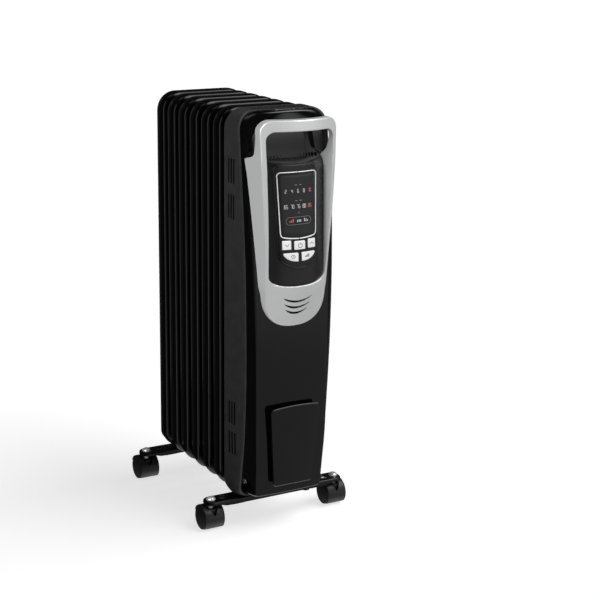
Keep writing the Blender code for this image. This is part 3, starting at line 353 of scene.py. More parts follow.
def smooth(low, high, value):
    """0 at low and 1 at high, with a smooth rise between. low may be the larger of the two."""
    share = np.clip((value - low) / (high - low), 0, 1)
    return share * share * (3 - 2 * share)


def table(stations, column, at):
    """A column of a table of sections at a height, on a smooth curve through its rows."""
    z = np.array([row[0] for row in stations])
    v = np.array([row[column] for row in stations])
    slope = np.gradient(v, z)
    at = np.clip(at, z[0], z[-1])
    i = np.clip(np.searchsorted(z, at, side="right") - 1, 0, len(z) - 2)
    span = z[i + 1] - z[i]
    t = (at - z[i]) / span
    return (
        v[i] * (2 * t**3 - 3 * t**2 + 1)
        + slope[i] * span * (t**3 - 2 * t**2 + t)
        + v[i + 1] * (3 * t**2 - 2 * t**3)
        + slope[i + 1] * span * (t**3 - t**2)
    )


def outline_of(half_points):
    """A closed loop from its right half, which runs from the bottom middle to the top middle."""
    right = np.asarray(half_points)
    left = right[::-1].copy()
    left[:, 0] *= -1
    return np.vstack([right, left[1:-1]])


# --- Fins ---

FIN_FACE_1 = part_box("fin_1")[0].y + 0.0100
FIN_PITCH = 0.0393
FIN_HALF = 0.0753
FIN_LOW, FIN_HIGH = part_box("fin_1")[0].z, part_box("fin_1")[1].z
HUBS_Z = (0.095, 0.590)
NECK_RADIUS = 0.0150
FIRST_NECK, NECK_GAP = 0.0098, 0.0062


def ridge(distance, half_width, soft):
    """1 inside a band, 0 outside it, with soft edges."""
    return 1 - smooth(half_width - soft, half_width + soft, np.abs(distance))


def oil_bulge(x, z):
    """How far the oil channels and their headers stand out of the sheet, from 0 to 1."""
    inside = smooth(0.078, 0.100, z) * (1 - smooth(0.585, 0.607, z))
    channels = np.maximum(ridge(x - 0.024, 0.0075, 0.003), ridge(x + 0.024, 0.0075, 0.003)) * inside
    middle = ridge(x, 0.0050, 0.0025) * inside * 0.55
    headers = np.maximum(*(ridge(x, 0.0300, 0.005) * ridge(z - hub, 0.0180, 0.005) for hub in HUBS_Z))
    return np.maximum(np.maximum(channels, middle), headers)


def fin_loop(inset):
    """The fin's outline, drawn in by the inset."""
    low_radius, high_radius = max(0.026 - inset, 0.002), max(0.030 - inset, 0.002)
    return loop(FIN_HALF - inset, FIN_LOW + inset, FIN_HIGH - inset, low_radius, high_radius, 8, 56, 10)


def fin_neck(hub, front_neck):
    """An oil neck that reaches forward from a hub. A long one has a weld bead half way along."""
    neck = [(0.0085, 0.0030), (0.0085, -front_neck), (0.0125, -front_neck), (NECK_RADIUS, -front_neck)]
    for share in np.linspace(0.92, 0.0, 9):
        flare = NECK_RADIUS + 0.0060 * (1 - min(share / 0.34, 1.0)) ** 2
        neck.append((flare, -0.0040 - (front_neck - 0.0040) * share))
    if front_neck > 0.02:
        weld_y = -0.5 * front_neck - 0.0030
        neck = [p for p in neck if abs(p[1] - weld_y) > 0.0030 or p[0] < 0.014]
        bead = [(NECK_RADIUS, weld_y - 0.0016), (0.0163, weld_y - 0.0009), (0.0166, weld_y)]
        bead += [(0.0163, weld_y + 0.0009), (NECK_RADIUS, weld_y + 0.0016)]
        position = next(i for i, p in enumerate(neck) if i > 3 and p[1] > weld_y)
        neck[position:position] = bead
    neck.append((0.0215, 0.0030))
    return lathe(neck, (0.0, 0.0, hub), "Y", 40)


def fin_shapes(front_neck):
    """One fin at y = 0: the front sheet with its rolled rim, and the oil side with its necks."""
    bend = 0.0085
    profile = [(0.0022, 0.0187), (0.0014, 0.0190), (0.0007, 0.0188), (0.0002, 0.0182)]
    profile += [(0.0, 0.0174), (0.0, 0.0140)]
    for turn in np.radians(np.linspace(0, 90, 9)):
        profile.append((bend * (1 - math.cos(turn)), bend * (1 - math.sin(turn))))
    profile += [(0.0098, 0.0), (0.0106, 0.0002), (0.0116, 0.0007), (0.0126, 0.0010), (0.0140, 0.0011)]
    insets = np.concatenate([np.linspace(0.018, 0.038, 6), np.linspace(0.0395, 0.0745, 28)])
    profile += [(inset, 0.0011) for inset in insets]
    front = []
    for inset, y in profile:
        flat = fin_loop(inset)
        face = y - 0.0042 * oil_bulge(flat[:, 0], flat[:, 1]) if inset > 0.015 else y
        if inset < 0.003:
            # The rim's rear lip curls up along the bottom.
            flat[:, 1] += 0.0048 * smooth(0.003, 0.019, y) * smooth(FIN_LOW + 0.034, FIN_LOW, flat[:, 1])
        front.append(raise_to(flat, face))
    back = []
    for inset in np.concatenate([[0.0300, 0.0304], np.linspace(0.0316, 0.0745, 30)]):
        flat = fin_loop(inset)
        lift = 0.0022 + 0.0040 * oil_bulge(flat[:, 0], flat[:, 1])
        back.append(raise_to(flat, 0.0016 if inset < 0.0302 else lift))
    necks = [fin_neck(hub, front_neck) for hub in HUBS_Z]
    return strip(front, wrap=True), [strip(back, wrap=True)] + necks


def build_fins():
    for number in range(1, 8):
        reach = FIRST_NECK if number == 7 else FIN_PITCH - NECK_GAP
        sheet, oil_side = fin_shapes(reach)
        name = f"fin_{number}"
        pan = piece(f"{name}_sheet", sheet, ENAMEL, nodes=[name])
        thicken(pan, 0.0010)
        trim = piece(f"{name}_oil_side", oil_side, ENAMEL, angle=50)
        for made in (pan, trim):
            made.data.transform(Matrix.Translation((0.0, FIN_FACE_1 - FIN_PITCH * (number - 1), 0.0)))


# --- Housing ---

SHELL_LOW, SHELL_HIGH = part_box("housing_shell")[0].z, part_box("housing_shell")[1].z
SHELL_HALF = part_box("housing_shell")[1].x
SHELL_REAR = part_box("housing_shell")[1].y
# The housing at ten heights: (z, seam half width, seam y, corner x, corner y, middle y).
STATIONS = (
    (0.050, 0.0662, -0.1035, 0.0563, -0.1354, -0.1378),
    (0.085, 0.0680, -0.1113, 0.0577, -0.1381, -0.1408),
    (0.150, 0.0699, -0.1238, 0.0604, -0.1423, -0.1453),
    (0.215, 0.0707, -0.1293, 0.0609, -0.1433, -0.1468),
    (0.326, 0.0725, -0.1328, 0.0615, -0.1428, -0.1463),
    (0.430, 0.0737, -0.1313, 0.0645, -0.1388, -0.1428),
    (0.504, 0.0745, -0.1263, 0.0670, -0.1313, -0.1373),
    (0.577, 0.0738, -0.1170, 0.0668, -0.1207, -0.1290),
    (0.612, 0.0732, -0.1122, 0.0662, -0.1172, -0.1252),
    (0.640, 0.0726, -0.1060, 0.0660, -0.1108, -0.1200),
)
TOP_RADIUS, BOTTOM_RADIUS = 0.030, 0.016
VENT_Y = (-0.0867, -0.0940, -0.1013)


def seam_y(x, z):
    """Where the rear shell meets the front cover: straight down the sides, bowed forward over the top."""
    side = table(STATIONS, 2, z)
    bow = 0.0095 * np.clip(1 - (x / 0.056) ** 2, 0, 1) * smooth(0.622, 0.639, z)
    return side - bow


def build_shell():
    """The satin rear shell: its outline drawn forward from the rear edge and rounded in at the seam."""
    base = loop(SHELL_HALF, SHELL_LOW, SHELL_HIGH, BOTTOM_RADIUS, TOP_RADIUS, 10, 64, 20)
    side, height = base[:, 0], base[:, 1]
    rear = SHELL_REAR - 0.0190 * (1 - smooth(0.052, 0.068, height))
    front = seam_y(side, height) + 0.0004
    middle_z = (SHELL_LOW + SHELL_HIGH) / 2
    taper = (SHELL_HALF - table(STATIONS, 1, height)) - 0.0012
    taper = np.clip(taper, 0, None) * smooth(SHELL_HIGH, SHELL_HIGH - TOP_RADIUS, height)
    steps = [(share, 0.0) for share in (0.0, *np.linspace(0.06, 0.90, 14))]
    for turn in np.radians((20, 40, 60, 78, 90)):
        steps.append((1.0 - (1 - math.sin(turn)) * 0.045, 1 - math.cos(turn)))
    rows = []
    for share, roll in steps:
        inward = taper * share**1.5 + 0.0026 * roll
        x = side - np.sign(side) * inward * np.clip(np.abs(side) / 0.060, 0, 1)
        fall = 0.0022 * roll * smooth(0.250, 0.292, np.abs(height - middle_z))
        z = height - np.sign(height - middle_z) * fall
        rows.append(np.column_stack([x, rear + (front - rear) * share, z]))
    inner = rows[-1].copy()
    inner[:, 0] *= 0.975
    inner[:, 1] += 0.0004
    inner[:, 2] = middle_z + (inner[:, 2] - middle_z) * 0.9955
    rows.append(inner)
    skin = strip(rows, wrap=True)
    shell = piece("rear_shell", skin, SATIN, nodes=["housing_shell"])
    thicken(shell, 0.0013)
    cut_vents(shell)


def cut_vents(shell):
    """Four groups of three slots in each side with near-black plates behind them, painted shade for the
    dark inside of the housing, and a grille in the top.
    """
    slots, shade_plates = [], []
    for z in (0.552, 0.4995, 0.1835, 0.135):
        for y in VENT_Y:
            for way in (-1, 1):
                row = loop(0.0022, z - 0.018, z + 0.018, 0.0008, 0.0008, 2, 2, 2) + (y, 0.0)
                slots += tube([stand_at(way * x, row) for x in (0.064, 0.090)])
    cut(shell, slots, "side_vents")
    # Dark plates behind each vent group: painted shade, so the slots read as shadowed openings.
    for z in (0.5258, 0.1593):
        for way in (-1, 1):
            row = loop(0.0135, z - 0.050, z + 0.050, 0.002, 0.002, 2, 8, 2) + (VENT_Y[1], 0.0)
            inner_x = table(STATIONS, 1, row[:, 1]) - 0.0062
            shade_plates += tube([stand_at(way * (inner_x + depth), row) for depth in (0.0, 0.0008)])
    piece("vent_shade_plates", shade_plates, VENT_SHADE)
    slots = []
    for x in np.linspace(-0.044, 0.044, 14):
        row = loop(0.0023, -0.1060, -0.0780, 0.0012, 0.0012, 3, 2, 2) + (x, 0.0)
        slots += tube([lay_at(row, z) for z in (0.630, 0.650)])
    cut(shell, slots, "top_grille")


def face_y(x, z):
    """The front cover's bowed face."""
    corner_x, corner_y, middle_y = (table(STATIONS, i, z) for i in (3, 4, 5))
    return middle_y + (corner_y - middle_y) * (x / corner_x) ** 2


def cover_half(z):
    """Half the cover's width at a height: the sides, less the rounded corners at the top and bottom."""
    side = table(STATIONS, 1, z) - 0.0010
    high, low = SHELL_HIGH - 0.0012 - TOP_RADIUS, SHELL_LOW + 0.0006 + BOTTOM_RADIUS
    if z > high:
        side -= TOP_RADIUS - math.sqrt(max(TOP_RADIUS**2 - (z - high) ** 2, 0.0))
    if z < low:
        side -= BOTTOM_RADIUS - math.sqrt(max(BOTTOM_RADIUS**2 - (low - z) ** 2, 0.0))
    return side


def cover_row(shape_z, z, back):
    """One row of the front cover from seam to seam at height z, with the plan shape of shape_z."""
    seam_x, corner_x, corner_y, middle_y = (table(STATIONS, i, shape_z) for i in (1, 3, 4, 5))
    half = cover_half(z)
    corner = half - (seam_x - 0.0006 - corner_x)
    spread_x = np.concatenate(
        [
            corner * np.linspace(0, 0.90, 14),
            corner + np.linspace(-0.0045, 0.0040, 11),
            np.linspace(corner + 0.0048, half, 4),
        ]
    )
    spread_x = np.clip(np.sort(spread_x), 0, half)
    bow = middle_y + (corner_y - middle_y) * (spread_x / corner) ** 2
    edge = seam_y(half, z) - 0.0002
    facet = corner_y + (edge - corner_y) * (spread_x - corner) / max(half - corner, 1e-6)
    y = 0.5 * (bow + facet + np.sqrt((bow - facet) ** 2 + 0.0016**2))
    y[-1] = edge + 0.0008
    y[-2] = min(y[-2], edge)
    right = np.column_stack([spread_x, y])
    row = np.vstack([right[::-1] * (-1, 1), right[1:]])
    target = seam_y(row[:, 0], z) - 0.0003
    y = row[:, 1] + (target - row[:, 1]) * back
    return np.column_stack([row[:, 0], y, np.full(len(row), z)])


def build_cover():
    """The gloss front cover in rows from its chin up over the top."""
    limit = SHELL_HIGH - 0.0012
    chin = SHELL_LOW + 0.0095
    rows = []
    for share in np.linspace(0, 1, 9)[:-1]:
        rows.append(cover_row(chin, SHELL_LOW + 0.0006 + 0.0084 * share, 1 - 0.92 * share))
    for turn in np.radians((65, 45, 28, 12)):
        rise = 1 - math.sin(turn)
        back = 0.08 * (1 - math.cos(turn)) ** 1.3
        rows.append(cover_row(chin, SHELL_LOW + 0.0090 + 0.0024 * rise, back))
    for z in np.linspace(SHELL_LOW + 0.0130, limit - TOP_RADIUS - 0.004, 76):
        rows.append(cover_row(z, z, 0.0))
    bend = 0.0034
    for turn in np.linspace(0, math.asin(1 - bend / TOP_RADIUS), 12):
        z = limit - TOP_RADIUS + TOP_RADIUS * math.sin(turn)
        rows.append(cover_row(z, z, 0.0))
    for turn in np.radians(np.linspace(12, 90, 8)):
        z = min(limit - bend + bend * math.sin(turn), limit - 0.00002)
        rows.append(cover_row(z, z, 0.90 * (1 - math.cos(turn))))
    skin = strip(rows)
    cover = piece("front_panel", skin, GLOSS, nodes=["front_cover"], angle=60)
    thicken(cover, 0.0012)


# --- Handle bezel ---

# The bezel at eight heights: (z, ridge x, ridge y, middle y, wing x).
BEZEL = (
    (0.322, 0.0500, -0.1456, -0.1484, 0.0500),
    (0.340, 0.0500, -0.1475, -0.1525, 0.0520),
    (0.360, 0.0505, -0.1490, -0.1585, 0.0546),
    (0.387, 0.0515, -0.1520, -0.1643, 0.0573),
    (0.430, 0.0530, -0.1553, -0.1693, 0.0605),
    (0.500, 0.0570, -0.1583, -0.1740, 0.0650),
    (0.577, 0.0615, -0.1570, -0.1755, 0.0685),
    (0.631, 0.0635, -0.1540, -0.1735, 0.0705),
)
WINDOW_LOW, SIDE_LOW, WINDOW_HIGH = 0.387, 0.407, 0.615
# How many points the bezel's and the pod's curves have in step along each part of the window.
BOWL_POINTS, SIDE_POINTS, CORNER_STEPS, TOP_STEPS = 15, 34, 8, 8
# The wing's top edge, which runs forward and turns up into the post's rear edge: (x, y, z, ridge z).
WING_PATH = (
    (0.0688, -0.1205, 0.5722, 0.5705),
    (0.0684, -0.1225, 0.5740, 0.5730),
    (0.0676, -0.1268, 0.5752, 0.5755),
    (0.0664, -0.1325, 0.5765, 0.5782),
    (0.0650, -0.1375, 0.5785, 0.5815),
    (0.0641, -0.1402, 0.5820, 0.5855),
    (0.0638, -0.1414, 0.5880, 0.5905),
)
WING_TOP = 0.577


def bezel_front(x, z):
    """The bezel's bowed face."""
    ridge_x, ridge_y, middle_y = (table(BEZEL, i, z) for i in (1, 2, 3))
    return middle_y + (ridge_y - middle_y) * (x / ridge_x) ** 2


def window_half(z):
    """Half the width of the bezel's window at a height."""
    return 0.0468 + (0.0558 - 0.0468) * (z - WINDOW_LOW) / (WINDOW_HIGH - WINDOW_LOW)


def bowl(half, low, rise, power, steps):
    """The right half of a sagging bottom edge, from its middle up to its end."""
    turn = np.radians(np.linspace(-90, 0, steps))
    x = half * np.cos(turn) ** (2 / power)
    x[0] = 0.0
    return np.column_stack([x, low + rise * (1 - np.abs(np.sin(turn)) ** (2 / power))])


def window_curve(inset=0.0, high=WINDOW_HIGH, radius=0.0135):
    """The right half of the window's outline, from the bottom middle to the top middle."""
    bottom = bowl(window_half(SIDE_LOW) - inset, WINDOW_LOW + inset, 0.020, 2.6, BOWL_POINTS)
    z_side = np.linspace(SIDE_LOW + inset, high - radius - inset, SIDE_POINTS)[1:-1]
    sides = np.column_stack([window_half(z_side) - inset, z_side])
    half = window_half(high - radius) - inset
    bend = arc((half - radius, high - inset - radius), radius, 0, 90, CORNER_STEPS)
    across = line((half - radius, high - inset), (0.0, high - inset), TOP_STEPS)
    return np.vstack([bottom, sides, bend, across, [(0.0, high - inset)]])


def bezel_curves():
    """The right half's inner edge, ridge, rear edge and rear depths, and where the wing ends."""
    bottom, side = BOWL_POINTS, SIDE_POINTS - 2
    inner = window_curve()
    z_ridge = np.interp(inner[bottom : bottom + side, 1], (SIDE_LOW, 0.6015), (0.3800, 0.6135))
    high, bend = 0.6316, 0.0180
    half = table(BEZEL, 1, high) - 0.0004
    crest = np.vstack(
        [
            bowl(0.0503, 0.3242, 0.052, 2.5, bottom),
            np.column_stack([table(BEZEL, 1, z_ridge), z_ridge]),
            arc((half - bend, high - bend), bend, 0, 90, CORNER_STEPS),
            line((half - bend, high), (0.0, high), TOP_STEPS),
            [(0.0, high)],
        ]
    )
    outer, rear = crest.copy(), np.zeros(len(crest))
    for i, (x, z) in enumerate(crest[: bottom + side]):
        if i < bottom:
            share = i / (bottom - 1)
            outer[i] = (x * (1 + 0.075 * share**2), z - 0.0011 * (1 - share))
            rear[i] = face_y(*outer[i]) - 0.0005
        elif z < WING_TOP:
            wing_x = table(BEZEL, 4, z) - 0.0002
            outer[i] = (wing_x, z - 0.0022 * smooth(0.545, WING_TOP, z))
            rear[i] = face_y(wing_x, z) - 0.0005
    first = next(i for i in range(bottom, len(crest)) if crest[i, 1] >= WING_TOP)
    for i, (x, y, z, ridge_z) in enumerate(WING_PATH, first - 3):
        outer[i], rear[i] = (x, z), y
        crest[i] = (table(BEZEL, 1, ridge_z), ridge_z)
    last = first + 3
    for i in range(last + 1, len(crest)):
        x, z = crest[i]
        grow = smooth(0.0, 0.012, z - crest[last, 1])
        outer[i] = (x + 0.0007 * np.sign(x), z)
        rear[i] = bezel_front(x, z) + 0.0146 - 0.0021 * grow
    return inner, crest, outer, rear, first


def bezel_section(inner, crest, end, deep, hollow):
    """A closed loop across the frame. hollow is 1 where the rear is a shell, 0 where it is a bar."""
    ix, iz = inner
    across = Vector((crest[0] - ix, crest[1] - iz))
    width, wall, soft = across.length, 0.0024, 0.0022
    way = across / width

    def at(distance, extra=0.0):
        x, z = ix + way.x * distance, iz + way.y * distance
        return np.array((x, bezel_front(x, z) + extra, z))

    face = bezel_front(ix, iz)
    bottom, middle = np.array((ix, deep, iz)), np.array((ix, (deep + face) / 2, iz))
    ridge_front = at(width)
    back_way = end - ridge_front
    length = np.linalg.norm(back_way)
    back_way /= length
    before, after = at(width - soft), ridge_front + back_way * min(0.0024, length * 0.4)
    section = [bottom, middle, np.array((ix, face + 0.0016, iz))]
    section += [at(0.0003, 0.0007), at(0.0009, 0.0001), at(0.0017)]
    section += [at(0.0017 + (width - 0.0017 - soft) * s) for s in (0.18, 0.34, 0.5, 0.66, 0.82)]
    section.append(before)
    for s in (0.25, 0.5, 0.75):
        section.append(before * (1 - s) ** 2 + ridge_front * 2 * s * (1 - s) + after * s**2)
    section += [after + (end - after) * s for s in (0.0, 0.25, 0.5, 0.75, 1.0)]
    inward = np.array((way.x, 0.0, way.y)) * wall
    shell_back = [
        end - inward * (1.0, 1.0, 0.5),
        ridge_front - inward + back_way * 0.004,
        at(width * 0.55, wall),
        at(0.0016 + wall * 0.4, wall + 0.0008),
        middle + inward,
        bottom + inward,
    ]
    bar_back = [end + (bottom - end) * s for s in (0.04, 0.2, 0.4, 0.6, 0.8, 0.96)]
    return np.array(section + [a * hollow + b * (1 - hollow) for a, b in zip(shell_back, bar_back)])


def build_bezel():
    """A frame round the window: inner wall, bowed face, ridge, and a wing that flares back."""
    inner, crest, outer, rear, first = bezel_curves()
    sections = []
    for i, (ix, iz) in enumerate(inner):
        hollow = 1.0 if i < first else 0.5 if i == first else 0.0
        if i <= first:
            deep = face_y(ix, iz) - (0.0045 if iz < 0.560 else 0.0004)
        elif i <= first + 2:
            deep = face_y(ix, 0.574) - (0.0100, 0.0175)[i - first - 1]
        else:
            deep = rear[i] - 0.0050 * min((i - first) / 6, 1.0)
        end = np.array((outer[i, 0], rear[i], outer[i, 1]))
        sections.append(bezel_section(inner[i], crest[i], end, deep, hollow))
    left = [row * (-1, 1, 1) for row in sections[::-1]]
    body = strip(sections + left[1:-1], wrap=True, close=True)
    bezel = piece("bezel", body, SILVER, nodes=["handle_bezel"], angle=42)
    slots = []
    for z, half in ((0.3655, 0.0238), (0.3560, 0.0214), (0.3470, 0.0186)):
        x = np.linspace(-half, half, 25)
        middle = z + 0.0040 - 0.0068 * (1 - (x / half) ** 2)
        thick = 0.0019 * (1 - 0.75 * np.abs(x / half) ** 3) * np.where(np.abs(x) == half, 0.35, 1.0)
        above, below = (np.column_stack([x, middle + edge]) for edge in (thick, -thick))
        ring = np.vstack([above, below[::-1]])
        ends = [raise_to(ring, y) for y in (-0.180, -0.150)]
        slots.append(strip(ends, wrap=True))
        slots += [strip([row[:25], row[25:][::-1]]) for row in ends]
    cut(bezel, slots, "smile_slots")


# --- Control pod ---

PANEL_HIGH, PANEL_LOW = 0.5645, 0.4150
POD_HIGH = 0.5722
DISPLAY_LOW, DISPLAY_HIGH = 0.457, 0.555
DISPLAY_CENTRE = np.array((0.0, 0.506))


def panel_y(x, z):
    """The pod's leaning, slightly hollowed face."""
    return -0.1533 - (PANEL_HIGH - z) * 0.0775 + x * x / 0.2200


def panel_half(z):
    """Half the width of the panel's face at a height."""
    return 0.0315 + (0.0362 - 0.0315) * (z - PANEL_LOW) / (PANEL_HIGH - PANEL_LOW)


def display_half(z):
    """Half the width of the display at a height."""
    return 0.0300 + (0.0334 - 0.0300) * (z - DISPLAY_LOW) / (DISPLAY_HIGH - DISPLAY_LOW)


def soft_curve(low, high, half_at, low_radius, high_radius, inset, sag):
    """The right half of a tapered rounded shape, with as many points as window_curve."""
    low, high = low + inset, high - inset
    low_radius, high_radius = max(low_radius - inset, 0.0004), max(high_radius - inset, 0.0004)
    half_low, half_high = half_at(low) - inset, half_at(high) - inset
    x = np.linspace(0, half_low - low_radius, 8)[:-1]
    floor = np.column_stack([x, low + sag * (x / half_low) ** 2])
    bend = arc((half_low - low_radius, low + low_radius + sag * 0.75), low_radius, -84, 0, 7)
    start_z, end_z = bend[-1, 1], high - high_radius
    z_side = np.linspace(start_z, end_z, SIDE_POINTS)[1:-1]
    sides = np.column_stack([half_at(z_side) - inset, z_side])
    over = arc((half_high - high_radius, high - high_radius), high_radius, 0, 90, CORNER_STEPS)
    across = line((half_high - high_radius, high), (0.0, high), TOP_STEPS)
    return np.vstack([floor, bend, sides, over, across, [(0.0, high)]])


def panel_curve(inset=0.0):
    """The right half of the panel's outline."""
    return soft_curve(PANEL_LOW, PANEL_HIGH, panel_half, 0.020, 0.0075, inset, 0.0035)


def display_curve(inset=0.0):
    """The right half of the display's outline."""
    return soft_curve(DISPLAY_LOW, DISPLAY_HIGH, display_half, 0.0065, 0.0065, inset, 0.0030)


def on_panel(flat, out):
    """A loop of (x, z) points laid on the panel, or that far out from it."""
    flat = np.asarray(flat, float)
    return raise_to(flat, panel_y(flat[:, 0], flat[:, 1]) - out)


def build_pod():
    """The pod in loops: from the window's edge over the skirt to the panel, and in to the display."""
    edge = outline_of(window_curve(0.0004, POD_HIGH, 0.004))
    foot = outline_of(panel_curve(-0.0012))
    skirt = panel_y(edge[:, 0], np.minimum(edge[:, 1], PANEL_HIGH)) + 0.0045
    high = smooth(0.560, POD_HIGH, edge[:, 1])
    rim = skirt * (1 - high) - 0.1290 * high
    rows = [raise_to(edge, rim + depth) for depth in (0.0100, 0.0006)]
    rows.append(raise_to(edge * (0.996, 1.0), rim))
    floor = panel_y(foot[:, 0], foot[:, 1]) + 0.0042
    for share in np.linspace(0.06, 1.0, 16):
        flat = edge + (foot - edge) * share
        straight = rim + (floor - rim) * share
        true = panel_y(flat[:, 0], np.minimum(flat[:, 1], PANEL_HIGH)) + 0.0042
        top_part = smooth(0.548, 0.562, flat[:, 1])
        lift = 0.0016 * np.sin(np.pi * share) * top_part
        rows.append(raise_to(flat, true * (1 - top_part) + straight * top_part - lift))
    for turn in np.radians((0, 18, 36, 54, 72, 90)):
        inset, drop = 0.0026 * (1 - math.cos(turn)) - 0.0006, 0.0026 * (1 - math.sin(turn))
        rows.append(on_panel(outline_of(panel_curve(inset)), -drop))
    frame_loop = outline_of(display_curve(0.0002))
    start = outline_of(panel_curve(0.0020))
    rows += [on_panel(start + (frame_loop - start) * share, 0.0) for share in (0.25, 0.5, 0.75, 1.0)]
    for share in (1.0, 0.8, 0.55, 0.3, 0.1):
        rows.append(on_panel(DISPLAY_CENTRE + (frame_loop - DISPLAY_CENTRE) * share, -0.0015))
    shapes = [strip(rows, wrap=True), disc(rows[-1])]
    pod = piece("control_panel", shapes, POD, nodes=["control_pod"], angle=50)
    thicken(pod, 0.0060)
    wells = []
    for flat in button_loops(0.0).values():
        wells += tube([on_panel(flat, out) for out in (0.004, -0.0035)])
    cut(pod, wells, "button_wells")
    ribs = []
    for x in np.linspace(-0.0465, 0.0465, 18):
        row = loop(0.0012, -0.1290, -0.1205, 0.0004, 0.0004, 2, 2, 2) + (x, 0.0)
        ribs += tube([lay_at(row, z) for z in (0.5705, 0.5756)])
    piece("pod_ribs", ribs, POD)


def button_loops(inset):
    """The outlines of the five keys: three boxes above, and two half moons below."""

    def box_loop(x_low, x_high, z_low, z_high):
        middle = (x_low + x_high) / 2
        flat = loop((x_high - x_low) / 2 - inset, z_low + inset, z_high - inset, 0.0012, 0.0012, 4, 8, 8)
        return flat + (middle, 0.0)

    def moon(way):
        x_in, x_out, high, low = 0.0025 + inset, 0.0262 - inset, 0.4378 - inset, 0.4243 + inset
        turn = np.radians(np.linspace(0, 90, 19))
        sweep_x = x_in + (x_out - x_in) * np.sin(turn) ** 0.92
        sweep_z = low + (high - 0.0012 - low) * (1 - np.cos(turn) ** 1.25)
        curve = np.column_stack([sweep_x, sweep_z])
        cap = np.array([(x_out - 0.0006, high - 0.0002), (x_out - 0.0014, high)])
        across = line((x_out - 0.0014, high), (x_in + 0.0006, high), 8)
        close = np.array([(x_in + 0.0006, high), (x_in, high - 0.0006)])
        down = line((x_in, high - 0.0006), (x_in, low), 4)
        return np.vstack([curve, cap, across, close, down]) * (way, 1)

    return {
        "button_down": box_loop(-0.0275, -0.0137, 0.4422, 0.4562),
        "button_power": box_loop(-0.0092, 0.0092, 0.4415, 0.4548),
        "button_up": box_loop(0.0137, 0.0275, 0.4422, 0.4562),
        "button_timer": moon(-1),
        "button_mode": moon(1),
    }


def ribbon(path, width, out, closed=False, height=0.00012):
    """A flat printed line on the panel's surface."""
    path = np.asarray(path, float)
    before = np.roll(path, 1, 0)
    after = np.roll(path, -1, 0)
    if not closed:
        before[0], after[-1] = path[0], path[-1]
    way = unit_rows(after - before)
    side = np.column_stack([-way[:, 1], way[:, 0]]) * width / 2
    left, right = path + side, path - side
    corners = ((left, out - height), (left, out), (right, out), (right, out - height))
    return strip([on_panel(flat, lift) for flat, lift in corners], wrap=closed)


def build_buttons():
    marks = button_marks()
    for name, flat in button_loops(0.0004).items():
        middle = flat.mean(0)
        rows = [on_panel(flat, -0.0016), on_panel(flat, 0.0006)]
        for inset, out in ((0.00012, 0.0009), (0.0004, 0.0011), (0.0009, 0.0012)):
            rows.append(on_panel(flat + unit_rows(middle - flat) * inset, out))
        rows += [on_panel(middle + (flat - middle) * share, 0.00125) for share in (0.6, 0.3)]
        piece(name + "_key", tube(rows), KEYS, name, [name], 40)
        piece(name + "_mark", marks[name], PRINT, name)


def button_marks():
    """The printed signs on the keys."""
    out = 0.00138
    chevron = np.array([(-0.0032, 0.0013), (0.0, -0.0017), (0.0032, 0.0013)])
    turn = np.radians(np.linspace(125, 415, 30))
    power = np.column_stack([np.cos(turn), np.sin(turn)]) * 0.0034
    ring = np.radians(np.linspace(0, 360, 28, endpoint=False))
    clock = np.column_stack([np.cos(ring), np.sin(ring)]) * 0.0027
    clock_at = np.array((-0.0115, 0.4322))
    mode_at = np.array((0.0115, 0.4322))
    bars = [
        ribbon(mode_at + np.array([(x, -0.0022), (x, top)]), 0.0011, out)
        for x, top in ((-0.0030, -0.0006), (-0.0010, 0.0004), (0.0010, 0.0014), (0.0030, 0.0024))
    ]
    hands = np.array([(0.0, 0.0018), (0.0, 0.0), (0.0013, -0.0007)])
    return {
        "button_down": [ribbon(chevron + (-0.0206, 0.4494), 0.0007, out)],
        "button_up": [ribbon(chevron * (1, -1) + (0.0206, 0.4490), 0.0007, out)],
        "button_power": [
            ribbon(power + (0.0, 0.4480), 0.0007, out),
            ribbon([(0.0, 0.4485), (0.0, 0.4523)], 0.0007, out),
        ],
        "button_timer": [
            ribbon(clock + clock_at, 0.0006, out, True),
            ribbon(hands + clock_at, 0.0005, out),
        ],
        "button_mode": bars,
    }


SEGMENTS = {
    "0": "abcdef",
    "1": "bc",
    "2": "abged",
    "4": "fgbc",
    "5": "afgcd",
    "6": "afgedc",
    "7": "abc",
    "8": "abcdefg",
}


def digit(text, x, z, height, out):
    """A seven-segment numeral."""
    w, h = height * 0.44, height / 2
    ends = {
        "a": ((0, 2 * h), (w, 2 * h)),
        "b": ((w, 2 * h), (w, h)),
        "c": ((w, h), (w, 0)),
        "d": ((w, 0), (0, 0)),
        "e": ((0, 0), (0, h)),
        "f": ((0, h), (0, 2 * h)),
        "g": ((0, h), (w, h)),
    }
    gap = 0.09
    shapes = []
    for letter in SEGMENTS[text]:
        a, b = (np.array(p, float) for p in ends[letter])
        path = np.array([a + (b - a) * gap, b + (a - b) * gap]) + (x, z)
        shapes.append(ribbon(path, height * 0.12, out, height=0.00006))
    return shapes


